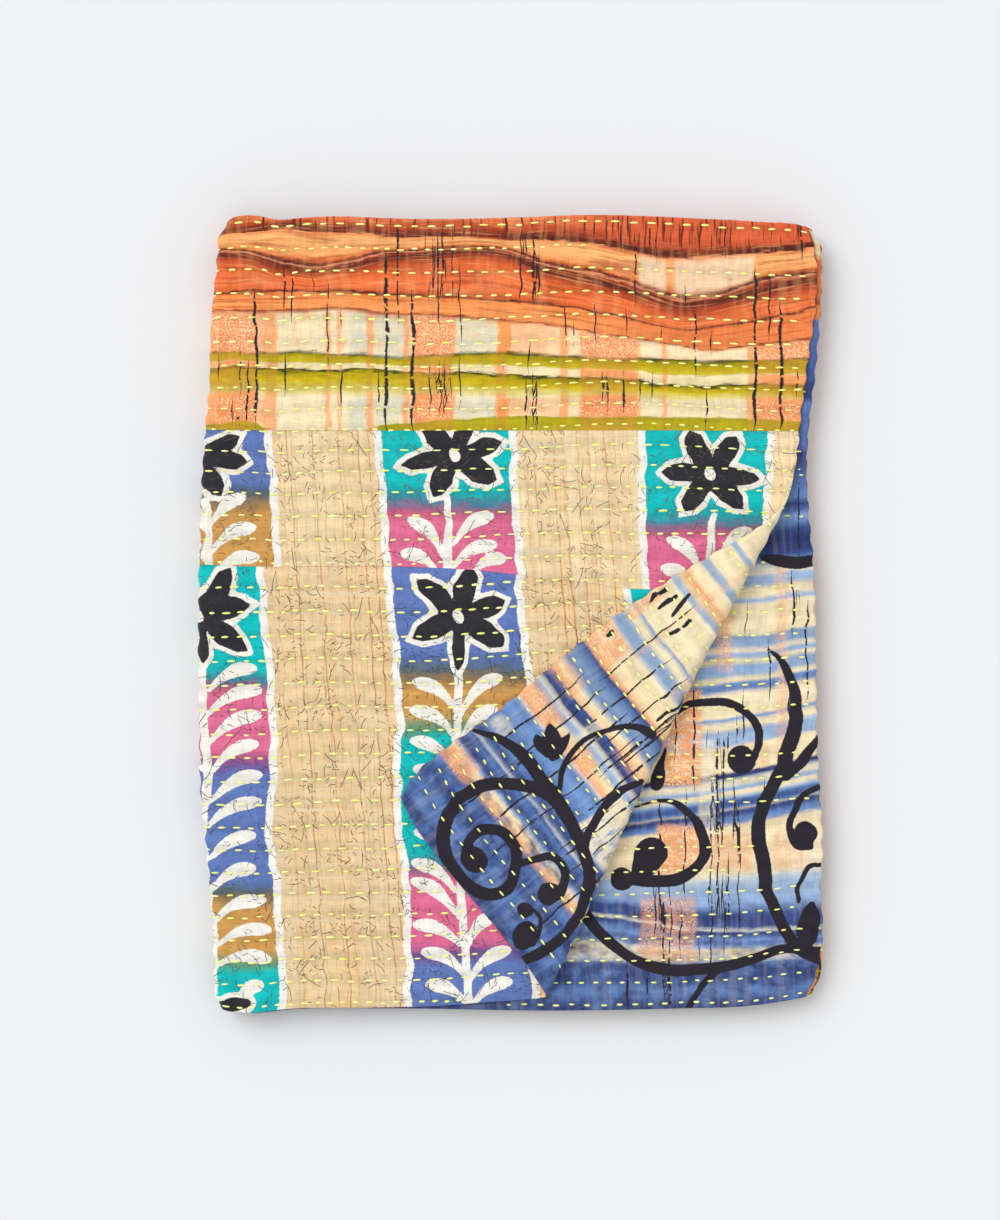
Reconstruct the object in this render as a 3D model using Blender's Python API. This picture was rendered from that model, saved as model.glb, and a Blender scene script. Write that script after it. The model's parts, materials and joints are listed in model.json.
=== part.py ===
"""A kantha quilt, folded flat, with one corner turned back over itself.

The quilt is one long cloth of cotton layers, held together all over by rows of running stitch.
It is folded in half across its width, so that the fold lies at the back (+Y) and both long hems
at the front (-Y), and then back and forth along its length in four passes. The free corner of
the layer on top, at the front right, is turned back to the left.

The solid is a sheet. A point of it is named by its station along the length (a pass or a turn,
and the share of the way along it) and by `across`: 0 at the upper layer's long hem, 1 where the
half fold begins, 2 where it ends and 3 at the lower layer's long hem. `place` turns that into a
place in space. Metres, +Z up, origin at the middle of the footprint on the ground.
"""

import math
from collections import namedtuple
from functools import lru_cache

import bmesh
import bpy
import numpy as np
from mathutils import Vector

MM = 0.001

# The cloth
LAYER = 2.2 * MM  # mean thickness of the quilted cloth
AIR = 1.2 * MM  # between one layer and the next
PUFF = 0.45 * MM  # how far each face stands up between two rows of stitches, and dips at a row
ROW_COUNT = 35  # rows of stitches from a long hem to the half fold
ROW_PITCH = 18.25 * MM
FIRST_ROW = 4.5 * MM  # from a long hem to the row beside it
RIPPLE = 1.1 * MM  # how far a row of stitches wanders from side to side
RIPPLE_LENGTH = 205 * MM

# The folds
PASS_COUNT = 4
DOUBLED = 2 * LAYER + AIR  # the cloth folded in half
PASS_PITCH = DOUBLED + AIR
TURN_RADIUS = PASS_PITCH / 2  # at the middle of the doubled cloth
HALF_FOLD_RADIUS = (LAYER + AIR) / 2  # at the middle of a layer
TURN_REACH = TURN_RADIUS + DOUBLED / 2  # from a turn's centre to its outside
FRONT, BACK = -314 * MM, 314 * MM
LAST_TURN, TOP = 2 * PASS_COUNT - 3, 2 * PASS_COUNT - 2  # runs of the sheet

# The stack is fuller at its folds than at its hems, and not quite level on top: shares of its
# height, and how far in from the edge each is felt
FULLER_LEFT, FULLER_BACK, SWELL = 0.07, 0.05, 0.022
FELT_FROM_FOLD = 30 * MM
SWELL_LENGTH, SWELL_WIDTH = 330 * MM, 420 * MM

# The turned corner: the outside of its roll runs from one hem to the other
ROLL_BACK_END = Vector((206.6 * MM, 69.1 * MM))
ROLL_FRONT_END = Vector((27.3 * MM, -303 * MM))
ROLL_RADIUS_BACK = 9.0 * MM  # at the middle of the layer
ROLL_RADIUS_FRONT = 3.9 * MM
ROLL_BOW = 4.5 * MM  # how far the roll is bent in towards the left
FLAP_REST = LAYER + 1.4 * MM  # between the middles of the flap and of the layer that it lies on
FLAP_SETTLE = 52 * MM  # from the roll to where the flap lies down

# How finely the sheet is cut
COLUMNS = 10  # along the pass on top
HIDDEN_COLUMNS = 3  # along each pass below
TURN_STEPS = 6
HALF_FOLD_STEPS = 4
HIDDEN_ROWS = 6  # across a layer that nobody sees
SEEN_BELOW = 145 * MM  # in front of this line, the second layer shows past the turned corner
ROLL_STEPS = 7
SETTLE_STEPS = 4

# Edges in millimetres, each read off along itself. A side edge gives its place to the right for
# each place to the back, and a front or back edge the other way round.
Side = namedtuple("Side", "back right")
End = namedtuple("End", "right back")
Drift = namedtuple("Drift", "back shift")

UPPER_SIDE_HEM = (
    Side(-314, 229), Side(-293, 235.4), Side(-262, 237.3), Side(-211, 235.2), Side(-109, 237),
    Side(-41, 233.5), Side(8, 227.5), Side(59, 222.5), Side(97, 224.5), Side(128, 227.9),
    Side(165, 231.1), Side(191, 234.2), Side(216, 237.4), Side(248, 242.1), Side(283, 242.9),
    Side(304, 240), Side(314, 237),
)
LOWER_SIDE_HEM = (
    Side(-314, 235), Side(-295, 242.5), Side(-278, 246.3), Side(-215, 247.3), Side(-177, 248.1),
    Side(-124, 244.9), Side(-34, 242.7), Side(35, 241), Side(81, 236.9), Side(110, 235.4),
    Side(150, 236.9), Side(213, 243.7), Side(286, 247), Side(304, 246), Side(314, 240),
)
TOP_LEFT_TURN = (
    Side(-314, -228.3), Side(-305, -233), Side(-277, -235), Side(-238, -236.4),
    Side(-181, -241.7), Side(-147, -245), Side(-68, -247.3), Side(-4, -247.7), Side(43, -246.9),
    Side(90, -245.3), Side(138, -242.9), Side(181, -239.2), Side(245, -235),
    Side(288, -232.7), Side(308, -230.3), Side(314, -226),
)
RIGHT_TURN = (
    Side(-314, 239), Side(-295, 247), Side(-275, 248.2), Side(-184, 245), Side(-68, 241),
    Side(48, 237), Side(121, 233.5), Side(230, 241), Side(290, 246.5), Side(314, 241),
)
BOTTOM_LEFT_TURN = (
    Side(-314, -227), Side(-240, -233.5), Side(-116, -244.5), Side(0, -246), Side(140, -241),
    Side(292, -231), Side(314, -225),
)
BOTTOM_SIDE_HEM = (
    Side(-314, 236), Side(-150, 240), Side(0, 236), Side(150, 234), Side(314, 238),
)
UPPER_LONG_HEM = (
    End(-248, -309), End(-228, -313.2), End(-209, -315.3), End(-177, -312.4), End(-112, -311.4),
    End(-48, -309.3), End(-24, -307.3), End(15, -304.5), End(63, -300), End(103, -300.9),
    End(156, -302.5), End(186, -302.3), End(215, -299.2), End(232, -294), End(245, -284),
)
LOWER_LONG_HEM = (
    End(-248, -310), End(-228, -313.2), End(-209, -316.1), End(-177, -313.2), End(-95, -312.4),
    End(41, -314), End(132, -312.4), End(188, -310.5), End(215, -307), End(250, -300),
)
HALF_FOLD = (
    End(-248, 303), End(-229, 308.5), End(-220, 314.4), End(-206, 316.4), End(-181, 312.8),
    End(-166, 314.4), End(-71, 313.6), End(8, 314.8), End(60, 316.8), End(146, 314),
    End(197, 311.2), End(232, 307.7), End(248, 301),
)
ROW_DRIFT = (
    Drift(-314, 0), Drift(-235, -3), Drift(-164, -4.4), Drift(-90, -2.4), Drift(-18, 0.6),
    Drift(40, 4), Drift(92, 5), Drift(140, 1), Drift(192, -3), Drift(250, -2), Drift(314, 0),
)


@lru_cache(maxsize=None)
def curve(table):
    """A table's two columns in metres, and the slope of the second at each row."""
    rows = sorted(table)
    known = np.array([row[0] for row in rows]) * MM
    wanted = np.array([row[1] for row in rows]) * MM
    return known, wanted, np.gradient(wanted, known)


def read(table, at):
    """The table's second column where its first is `at`, on a smooth curve through the rows."""
    known, wanted, slopes = curve(table)
    at = min(max(at, known[0]), known[-1])
    i = min(int(np.searchsorted(known, at, side="right")) - 1, len(known) - 2)
    step = known[i + 1] - known[i]
    t = (at - known[i]) / step
    return float(
        (1 + 2 * t) * (1 - t) ** 2 * wanted[i]
        + t * (1 - t) ** 2 * step * slopes[i]
        + t * t * (3 - 2 * t) * wanted[i + 1]
        + t * t * (t - 1) * step * slopes[i + 1]
    )


def between(low, high, share):
    return low + (high - low) * share


def eased(share):
    share = min(max(share, 0), 1)
    return share * share * (3 - 2 * share)


# Across the width


def from_hem(across):
    """The share of the way from the long hem to the half fold: 0 to 1."""
    return min(across, 3 - across, 1)


def is_upper(across):
    return across <= 1.5


def half_fold_lines():
    return [1 + i / HALF_FOLD_STEPS for i in range(HALF_FOLD_STEPS + 1)]


def plain_shares():
    """Shares of a layer's width. Each lies on a row, so that the finer lines include it."""
    rows = [float(round(i * (ROW_COUNT - 1) / HIDDEN_ROWS)) for i in range(1, HIDDEN_ROWS)]
    return [0.0] + [(FIRST_ROW + row * ROW_PITCH) / (BACK - FRONT) for row in rows]


def stitched_shares():
    """Shares of a layer's width: on each row of stitches, and halfway to the next."""
    rows = [i / 2 for i in range(2 * ROW_COUNT - 1)]
    return [0.0] + [(FIRST_ROW + row * ROW_PITCH) / (BACK - FRONT) for row in rows]


def plain_lines():
    """`across` of each line of points where nobody sees the cloth."""
    shares = plain_shares()
    return sorted({*shares, *half_fold_lines(), *(3 - share for share in shares)})


def stitched_lines():
    """`across` of each line of points on the pass on top."""
    limit = (SEEN_BELOW - FRONT) / (BACK - FRONT)
    below = {share for share in stitched_shares() if share < limit} | set(plain_shares())
    return sorted({*stitched_shares(), *half_fold_lines(), *(3 - share for share in below)})


def swell_of_rows(station, across):
    """How far each face stands out: PUFF between two rows of stitches, -PUFF on one."""
    from_front = from_hem(across) * (BACK - FRONT)
    shows = is_upper(across) or from_front < SEEN_BELOW - FRONT
    rows = (from_front - FIRST_ROW) / ROW_PITCH
    if station < Station(LAST_TURN, 0.6) or not shows or 1 < across < 2:
        return 0.0
    return -PUFF * math.cos(2 * math.pi * rows) if rows > -0.1 else 0.0


# Along the length. Even runs are passes, with the share counted to the right, and odd runs are
# turns, with the share counted upwards.

Station = namedtuple("Station", "run share")


def stations_below():
    """The stations from the bottom pass's hem up to the outside of the last turn."""
    found = []
    for run in range(TOP):
        steps = TURN_STEPS if run % 2 else HIDDEN_COLUMNS
        shares = [i / steps for i in range(steps)]
        found += [Station(run, 1 - share if run % 4 == 0 else share) for share in shares]
    return [station for station in found if station < Station(LAST_TURN, 0.5)]


def stations_above():
    """The stations from the outside of the last turn to the free hem of the pass on top."""
    turn = [Station(LAST_TURN, i / TURN_STEPS) for i in range(TURN_STEPS // 2, TURN_STEPS)]
    return turn + [Station(TOP, i / COLUMNS) for i in range(COLUMNS + 1)]


def side_edges(number, across, back):
    """(left, right) ends of a pass, where its turns or its free hem begin."""
    left = read(BOTTOM_LEFT_TURN if number < 2 else TOP_LEFT_TURN, back) + TURN_REACH
    if number == 0:
        return left, read(BOTTOM_SIDE_HEM, back)
    if number == PASS_COUNT - 1:
        return left, read(UPPER_SIDE_HEM if is_upper(across) else LOWER_SIDE_HEM, back)
    return left, read(RIGHT_TURN, back) - TURN_REACH


def back_of(across, right):
    """How far back the middle of its layer lies there."""
    share = from_hem(across)
    hem = read(UPPER_LONG_HEM if is_upper(across) else LOWER_LONG_HEM, right)
    fold = read(HALF_FOLD, right) - DOUBLED / 2
    waves = 2 * math.pi * (right / RIPPLE_LENGTH + 2.3 * share)
    ripple = RIPPLE * math.sin(waves) * math.sin(math.pi * share)
    return between(hem, fold, share) + read(ROW_DRIFT, between(FRONT, BACK, share)) + ripple


def place(station, across, off):
    """The place in space of a point `off` outside the middle of its layer."""
    fold_angle = math.pi * min(max(across - 1, 0), 1)
    stands = swell_of_rows(station, across)
    radius = HALF_FOLD_RADIUS + off + math.copysign(1, off) * stands
    out, round_fold = radius * math.cos(fold_angle), radius * math.sin(fold_angle)
    number, share = station.run // 2, station.share
    left, right = side_edges(number, across, between(FRONT, BACK, from_hem(across)))
    middle = DOUBLED / 2 + number * PASS_PITCH
    faces_up = 1 if number % 2 else -1
    if station.run % 2 == 0:
        x = between(left, right, share)
        z = middle + out * faces_up
    else:
        turn = TURN_RADIUS - out * faces_up
        reach = turn * math.sin(math.pi * share)
        x = right + reach if number % 2 else left - reach
        z = middle + TURN_RADIUS - turn * math.cos(math.pi * share)
    return Vector((x, back_of(across, x) + round_fold, z))


# The turned corner

FLAT_HEIGHT = DOUBLED / 2 + (PASS_COUNT - 1) * PASS_PITCH + HALF_FOLD_RADIUS  # of the top layer
ROLL_LENGTH = (ROLL_FRONT_END - ROLL_BACK_END).length
ROLL_ALONG = (ROLL_FRONT_END - ROLL_BACK_END).normalized()
ROLL_OUT = Vector((-ROLL_ALONG.y, ROLL_ALONG.x))  # towards the corner, before it is turned


def roll_radius(along):
    return between(ROLL_RADIUS_BACK, ROLL_RADIUS_FRONT, along / ROLL_LENGTH)


def turn_back(point):
    """Rolls a point of the top layer up and over, as far as it lies past the roll's start."""
    from_end = point.xy - ROLL_BACK_END
    along = from_end.dot(ROLL_ALONG)
    radius = roll_radius(along)
    past = from_end.dot(ROLL_OUT) + radius
    if past <= 0:
        return point
    height = point.z - FLAT_HEIGHT
    angle = min(past / radius, math.pi)
    beyond = max(past - math.pi * radius, 0)
    out = (radius - height) * math.sin(angle) - beyond - radius
    lift = radius - (radius - height) * math.cos(angle)
    lift -= (2 * radius - FLAP_REST) * eased(beyond / FLAP_SETTLE)
    seat = ROLL_BACK_END + along * ROLL_ALONG + out * ROLL_OUT
    return Vector((seat.x, seat.y, FLAT_HEIGHT + lift))


def bow(point):
    """Bends the roll and the cloth beside it in towards the left, most at its middle."""
    from_end = point.xy - ROLL_BACK_END
    along, out = from_end.dot(ROLL_ALONG) / ROLL_LENGTH, from_end.dot(ROLL_OUT)
    if not 0 < along < 1:
        return point
    shift = ROLL_BOW * math.sin(math.pi * along ** 0.7) ** 2 * math.exp(-((out / (60 * MM)) ** 2))
    return Vector((*(point.xy - shift * ROLL_OUT), point.z))


def settle(point):
    """Lets the whole stack stand fuller at its folds, and swell and sink a little on top."""
    from_left = point.x - read(TOP_LEFT_TURN, point.y)
    from_back = read(HALF_FOLD, point.x) - point.y
    rise = FULLER_LEFT * math.exp(-((from_left / FELT_FROM_FOLD) ** 2))
    rise += FULLER_BACK * math.exp(-((from_back / FELT_FROM_FOLD) ** 2))
    rise += SWELL * math.sin(2 * math.pi * point.x / SWELL_LENGTH + 1) * math.sin(
        2 * math.pi * point.y / SWELL_WIDTH
    )
    return Vector((point.x, point.y, point.z * (1 + rise)))


def roll_cuts():
    """(point, direction along) of each upright plane that cuts the top layer along the roll."""
    arcs = [(math.pi * i / ROLL_STEPS, 0.0) for i in range(ROLL_STEPS + 1)]
    arcs += [(math.pi, FLAP_SETTLE * (i + 1) / SETTLE_STEPS) for i in range(SETTLE_STEPS)]
    for angle, beyond in arcs:
        ends = [
            ROLL_BACK_END + along * ROLL_ALONG + ((angle - 1) * roll_radius(along) + beyond) * ROLL_OUT
            for along in (0.0, ROLL_LENGTH)
        ]
        yield ends[0], (ends[1] - ends[0]).normalized()


# The mesh


def join_stations(mesh, first, second):
    """Faces between the points of two stations, one of which may have points between."""
    coarse, fine = sorted((first, second), key=len)
    for low, high in zip(sorted(coarse), sorted(coarse)[1:]):
        inner = [fine[at] for at in sorted(fine) if low <= at <= high]
        middle = len(inner) // 2
        for i, (one, other) in enumerate(zip(inner, inner[1:])):
            if len(inner) > 2:
                mesh.faces.new((coarse[low if i < middle else high], one, other))
        if len(inner) > 2:
            mesh.faces.new((coarse[low], inner[middle], coarse[high]))
        else:
            mesh.faces.new((coarse[low], *inner, coarse[high]))


def join_rim(mesh, outer, inner):
    """Faces through the cloth's thickness, along one edge of the sheet."""
    for (a, b), (c, d) in zip(zip(outer, inner), zip(outer[1:], inner[1:])):
        mesh.faces.new((a, c, d, b))


def folded_sheet(mesh, on_top):
    """The whole folded cloth, with its corner still flat."""
    plan = [(station, plain_lines()) for station in stations_below()]
    plan += [(station, stitched_lines()) for station in stations_above()]
    sides = []
    for off in (LAYER / 2, -LAYER / 2):
        points = []
        for station, lines in plan:
            points.append({across: mesh.verts.new(place(station, across, off)) for across in lines})
            for across, vertex in points[-1].items():
                vertex[on_top] = int(station.run == TOP and across < 1)
        for first, second in zip(points, points[1:]):
            join_stations(mesh, first, second)
        sides.append(points)
    outer, inner = sides
    for end in (0, -1):
        lines = sorted(outer[end])
        join_rim(mesh, [outer[end][at] for at in lines], [inner[end][at] for at in lines])
    for hem in (0.0, 3.0):
        join_rim(mesh, [points[hem] for points in outer], [points[hem] for points in inner])


def turn_corner_back(mesh, on_top):
    """Cuts the top layer along its roll, and rolls its corner over."""
    for point, along in roll_cuts():
        layer = {vertex for vertex in mesh.verts if vertex[on_top]}
        faces = [face for face in mesh.faces if layer.issuperset(face.verts)]
        edges = {edge for face in faces for edge in face.edges}
        cut = bmesh.ops.bisect_plane(
            mesh,
            geom=[*layer, *edges, *faces],
            dist=1e-7,
            plane_co=(*point, 0),
            plane_no=(-along.y, along.x, 0),
        )
        for item in cut["geom_cut"]:
            if isinstance(item, bmesh.types.BMVert):
                item[on_top] = 1
    for vertex in mesh.verts:
        if vertex[on_top]:
            vertex.co = bow(turn_back(vertex.co))


def quilted_cotton():
    """Printed cotton, washed soft: matt, and warm where the print leaves it bare."""
    material = bpy.data.materials.new("quilted_cotton")
    material.use_nodes = True
    shader = material.node_tree.nodes["Principled BSDF"]
    shader.inputs["Base Color"].default_value = (0.78, 0.55, 0.36, 1)
    shader.inputs["Roughness"].default_value = 0.9
    shader.inputs["Metallic"].default_value = 0.0
    return material


def make_quilt():
    mesh = bmesh.new()
    on_top = mesh.verts.layers.int.new("on_top")
    folded_sheet(mesh, on_top)
    turn_corner_back(mesh, on_top)
    for vertex in mesh.verts:
        vertex.co = settle(vertex.co)
    bmesh.ops.triangulate(mesh, faces=mesh.faces[:])
    bmesh.ops.recalc_face_normals(mesh, faces=mesh.faces[:])
    if mesh.calc_volume(signed=True) < 0:
        bmesh.ops.reverse_faces(mesh, faces=mesh.faces[:])
    data = bpy.data.meshes.new("quilt")
    mesh.to_mesh(data)
    mesh.free()
    data.shade_smooth()
    data.materials.append(quilted_cotton())
    bpy.context.scene.collection.objects.link(bpy.data.objects.new("quilt", data))


def main():
    for old in list(bpy.data.objects):
        bpy.data.objects.remove(old)
    make_quilt()


main()
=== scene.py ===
"""A kantha quilt of printed cotton, folded flat, with one corner turned back over itself.

The face is pieced from three old saris: an ombre striped one at the middle of the width and two
widths of a block-printed one towards the hem. The reverse is one checked and scroll-printed
sari. All the layers are held together by rows of running stitch in bright floss.

Cloth is cut in the flat and then folded by one set of rules, so prints, seams, puckers and
stitches all share the cloth's own two directions: `along` its length, which on the pass on top is
the way to the right, and `up` its width, which there is the way to the back. Metres, +Z up.
Tables are in millimetres.
"""

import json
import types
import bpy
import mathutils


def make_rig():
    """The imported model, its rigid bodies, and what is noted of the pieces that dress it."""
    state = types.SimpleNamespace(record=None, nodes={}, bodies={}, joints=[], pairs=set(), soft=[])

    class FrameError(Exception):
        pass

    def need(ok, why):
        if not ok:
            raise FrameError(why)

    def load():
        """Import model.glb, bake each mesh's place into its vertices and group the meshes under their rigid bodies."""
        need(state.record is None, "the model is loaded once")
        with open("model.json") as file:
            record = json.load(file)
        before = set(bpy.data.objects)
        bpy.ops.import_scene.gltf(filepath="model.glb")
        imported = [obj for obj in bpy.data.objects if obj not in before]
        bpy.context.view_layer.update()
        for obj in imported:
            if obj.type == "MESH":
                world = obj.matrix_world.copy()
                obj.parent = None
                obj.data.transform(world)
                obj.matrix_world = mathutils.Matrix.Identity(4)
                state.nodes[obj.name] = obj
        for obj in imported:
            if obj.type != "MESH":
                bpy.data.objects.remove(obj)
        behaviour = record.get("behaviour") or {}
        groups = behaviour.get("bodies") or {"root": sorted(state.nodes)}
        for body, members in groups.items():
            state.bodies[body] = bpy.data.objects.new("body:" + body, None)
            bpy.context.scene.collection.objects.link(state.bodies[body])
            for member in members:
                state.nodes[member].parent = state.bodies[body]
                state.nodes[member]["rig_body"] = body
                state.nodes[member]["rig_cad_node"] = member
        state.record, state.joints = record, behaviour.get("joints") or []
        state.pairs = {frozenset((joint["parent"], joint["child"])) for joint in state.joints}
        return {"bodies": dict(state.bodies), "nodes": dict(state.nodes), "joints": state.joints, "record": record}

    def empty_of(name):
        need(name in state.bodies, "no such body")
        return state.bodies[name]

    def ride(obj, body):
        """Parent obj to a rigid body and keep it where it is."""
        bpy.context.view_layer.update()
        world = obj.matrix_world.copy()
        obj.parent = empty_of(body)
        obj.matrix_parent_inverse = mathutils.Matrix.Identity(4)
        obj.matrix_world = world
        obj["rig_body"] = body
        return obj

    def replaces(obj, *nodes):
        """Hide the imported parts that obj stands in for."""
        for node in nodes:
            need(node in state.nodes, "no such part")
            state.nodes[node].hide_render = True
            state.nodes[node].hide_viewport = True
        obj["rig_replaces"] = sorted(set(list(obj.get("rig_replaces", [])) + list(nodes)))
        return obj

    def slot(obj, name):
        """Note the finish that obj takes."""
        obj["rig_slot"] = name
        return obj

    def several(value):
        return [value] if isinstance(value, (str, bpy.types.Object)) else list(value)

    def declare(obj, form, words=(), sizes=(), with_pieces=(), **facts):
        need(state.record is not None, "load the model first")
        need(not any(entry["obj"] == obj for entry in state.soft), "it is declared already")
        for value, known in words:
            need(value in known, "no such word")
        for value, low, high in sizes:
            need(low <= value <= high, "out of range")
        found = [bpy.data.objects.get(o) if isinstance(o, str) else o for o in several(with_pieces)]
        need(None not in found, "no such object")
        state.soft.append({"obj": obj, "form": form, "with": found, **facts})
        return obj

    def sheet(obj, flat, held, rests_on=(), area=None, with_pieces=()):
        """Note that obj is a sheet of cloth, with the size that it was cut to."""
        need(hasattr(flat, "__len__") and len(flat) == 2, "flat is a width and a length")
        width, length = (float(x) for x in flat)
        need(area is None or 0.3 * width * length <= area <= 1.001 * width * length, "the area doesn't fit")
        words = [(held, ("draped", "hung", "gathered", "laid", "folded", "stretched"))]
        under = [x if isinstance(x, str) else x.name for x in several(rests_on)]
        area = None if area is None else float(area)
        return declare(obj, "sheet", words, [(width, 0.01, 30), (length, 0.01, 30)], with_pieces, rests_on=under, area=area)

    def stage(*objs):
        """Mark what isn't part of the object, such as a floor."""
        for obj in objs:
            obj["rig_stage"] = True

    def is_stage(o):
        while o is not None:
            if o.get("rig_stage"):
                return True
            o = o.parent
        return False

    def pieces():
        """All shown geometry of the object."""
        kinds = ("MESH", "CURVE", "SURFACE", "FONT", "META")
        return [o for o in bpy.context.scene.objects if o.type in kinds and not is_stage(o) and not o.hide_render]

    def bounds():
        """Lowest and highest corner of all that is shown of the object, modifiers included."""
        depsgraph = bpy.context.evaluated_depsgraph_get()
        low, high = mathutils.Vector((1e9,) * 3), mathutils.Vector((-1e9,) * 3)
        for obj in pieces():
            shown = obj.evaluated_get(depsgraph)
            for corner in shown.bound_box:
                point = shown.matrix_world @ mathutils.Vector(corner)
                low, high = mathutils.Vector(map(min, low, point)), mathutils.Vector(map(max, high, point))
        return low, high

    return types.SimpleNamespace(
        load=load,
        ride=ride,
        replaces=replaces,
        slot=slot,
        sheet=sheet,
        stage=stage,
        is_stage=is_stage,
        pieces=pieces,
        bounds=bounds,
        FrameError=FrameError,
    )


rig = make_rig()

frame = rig.load()
CAD_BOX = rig.bounds()

import json
import logging
import math
from dataclasses import dataclass, field
from enum import Enum
from functools import cached_property
from typing import Any, Iterable, NamedTuple, Sequence

import bpy
import numpy as np
from mathutils import Vector

LOG = logging.getLogger("kantha_quilt")
MM = 0.001
Array = np.ndarray
Tree = bpy.types.NodeTree
Node = bpy.types.Node
Source = bpy.types.NodeSocket | bpy.types.Node  # a node stands for its first output
Named = dict[str | int, Any]  # by the name or the number of a node's input
Size = tuple[float, float]  # along and up the cloth
Rows = tuple[tuple[float, ...], ...]
Stops = tuple[tuple[float, str], ...]  # (place, hex colour)


# Small tools


def linear(colour: str) -> tuple[float, float, float, float]:
    """Turns an sRGB hex colour such as "#e6f763" into linear values.

    Args:
        colour: the colour, as a hash and six hex digits.

    Returns:
        Linear red, green and blue, and an alpha of 1.
    """
    parts = [int(colour[i : i + 2], 16) / 255 for i in (1, 3, 5)]
    red, green, blue = (p / 12.92 if p <= 0.04045 else ((p + 0.055) / 1.055) ** 2.4 for p in parts)
    return red, green, blue, 1.0


def add_node(tree: Tree, kind: str, settings: Named, links: Named | None = None) -> Node:
    """Adds a node to a material.

    Args:
        tree: the node tree.
        kind: the node's type, without its "ShaderNode".
        settings: values by name. A name that the node has as a property is set there, and any
            other name or number is an input.
        links: for each input, what feeds it.

    Returns:
        The new node.
    """
    node = tree.nodes.new("ShaderNode" + kind)
    for name, value in settings.items():
        if isinstance(name, str) and name in node.bl_rna.properties:
            setattr(node, name, value)
        else:
            node.inputs[name].default_value = value
    for name, source in (links or {}).items():
        output = source.outputs[0] if isinstance(source, Node) else source
        tree.links.new(output, node.inputs[name])
    return node


def new_material(name: str, roughness: float, specular: float) -> tuple[bpy.types.Material, Node]:
    """A material with nothing but its shader.

    Args:
        name: what it is and how its surface was made.
        roughness: the shader's roughness.
        specular: the shader's specular level.

    Returns:
        The material and its shader.
    """
    material = bpy.data.materials.new(name)
    material.use_nodes = True
    shader = material.node_tree.nodes["Principled BSDF"]
    shader.inputs["Roughness"].default_value = roughness
    shader.inputs["Specular IOR Level"].default_value = specular
    return material, shader


def add_to_scene(name: str, data: bpy.types.ID) -> bpy.types.Object:
    """Adds an object to the scene.

    Args:
        name: its name.
        data: its mesh, light or camera.

    Returns:
        The object.
    """
    made = bpy.data.objects.new(name, data)
    bpy.context.scene.collection.objects.link(made)
    return made


@dataclass(frozen=True)
class Curve:
    """A smooth curve through a short table of (at, value) rows."""

    rows: tuple[tuple[float, float], ...]

    @cached_property
    def table(self) -> tuple[Array, Array, Array]:
        """The table in order.

        Returns:
            The places, the values and the slopes at each place.
        """
        rows = sorted(self.rows)
        known = np.array([row[0] for row in rows], float)
        wanted = np.array([row[1] for row in rows], float)
        return known, wanted, np.gradient(wanted, known)

    def read(self, at: Array) -> Array:
        """The value at each place; past either end it stays as it is there.

        Args:
            at: places, in the table's own unit.

        Returns:
            Values, in the table's own unit.
        """
        known, wanted, slopes = self.table
        at = np.clip(at, known[0], known[-1])
        i = np.clip(np.searchsorted(known, at, side="right") - 1, 0, len(known) - 2)
        step = known[i + 1] - known[i]
        t = (at - known[i]) / step
        return (
            (1 + 2 * t) * (1 - t) ** 2 * wanted[i]
            + t * (1 - t) ** 2 * step * slopes[i]
            + t * t * (3 - 2 * t) * wanted[i + 1]
            + t * t * (t - 1) * step * slopes[i + 1]
        )

    def metres(self, at: Array) -> Array:
        """As read, for a table in millimetres and places in metres."""
        return self.read(np.asarray(at) / MM) * MM


def eased(share: Array) -> Array:
    """A soft step from 0 to 1."""
    share = np.clip(share, 0, 1)
    return share * share * (3 - 2 * share)


def chance(x: Array, y: Array, seed: int) -> Array:
    """A chance value for each pair of whole numbers, the same in each run.

    Args:
        x: the first numbers.
        y: the second ones.
        seed: which set of values.

    Returns:
        Values from -1 to 1.
    """
    mixed = x.astype(np.int64) * 374761393 + y.astype(np.int64) * 668265263
    mixed = (mixed + seed * 974634777) & 0xFFFFFFFF
    mixed = ((mixed ^ (mixed >> 13)) * 1274126177) & 0xFFFFFFFF
    return ((mixed ^ (mixed >> 16)) & 0xFFFF) / 32767.5 - 1


def uneven(x: Array, y: Array, size: Size, seed: int) -> Array:
    """Smooth unevenness from -1 to 1, the same in each run.

    Args:
        x: places along.
        y: places across.
        size: how far apart its bumps are along and across, in the same unit.
        seed: which pattern.

    Returns:
        One value for each place.
    """
    x, y = np.broadcast_arrays(np.asarray(x, float) / size[0], np.asarray(y, float) / size[1])
    left, low = np.floor(x), np.floor(y)
    share_x, share_y = eased(x - left), eased(y - low)
    rows = []
    for row in (low, low + 1):
        rows.append(chance(left, row, seed) * (1 - share_x) + chance(left + 1, row, seed) * share_x)
    return rows[0] * (1 - share_y) + rows[1] * share_y


# The folds


class Side(Enum):
    """The two sides of the cloth. The value is the way out from the middle of its thickness."""

    FACE = 1
    REVERSE = -1


class Half(Enum):
    """The two halves of the width: the one that lies outermost on top, and the one under it."""

    UPPER = 0
    LOWER = 1


class Place(NamedTuple):
    """Points of the cloth, as arrays of one shape."""

    run: Array  # even: a pass, counted from the bottom; odd: the turn above it
    share: Array  # of the way along the run, to the right or upwards
    across: Array  # 0 at the upper hem, 1 to 2 round the half fold, 3 at the lower hem


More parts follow.
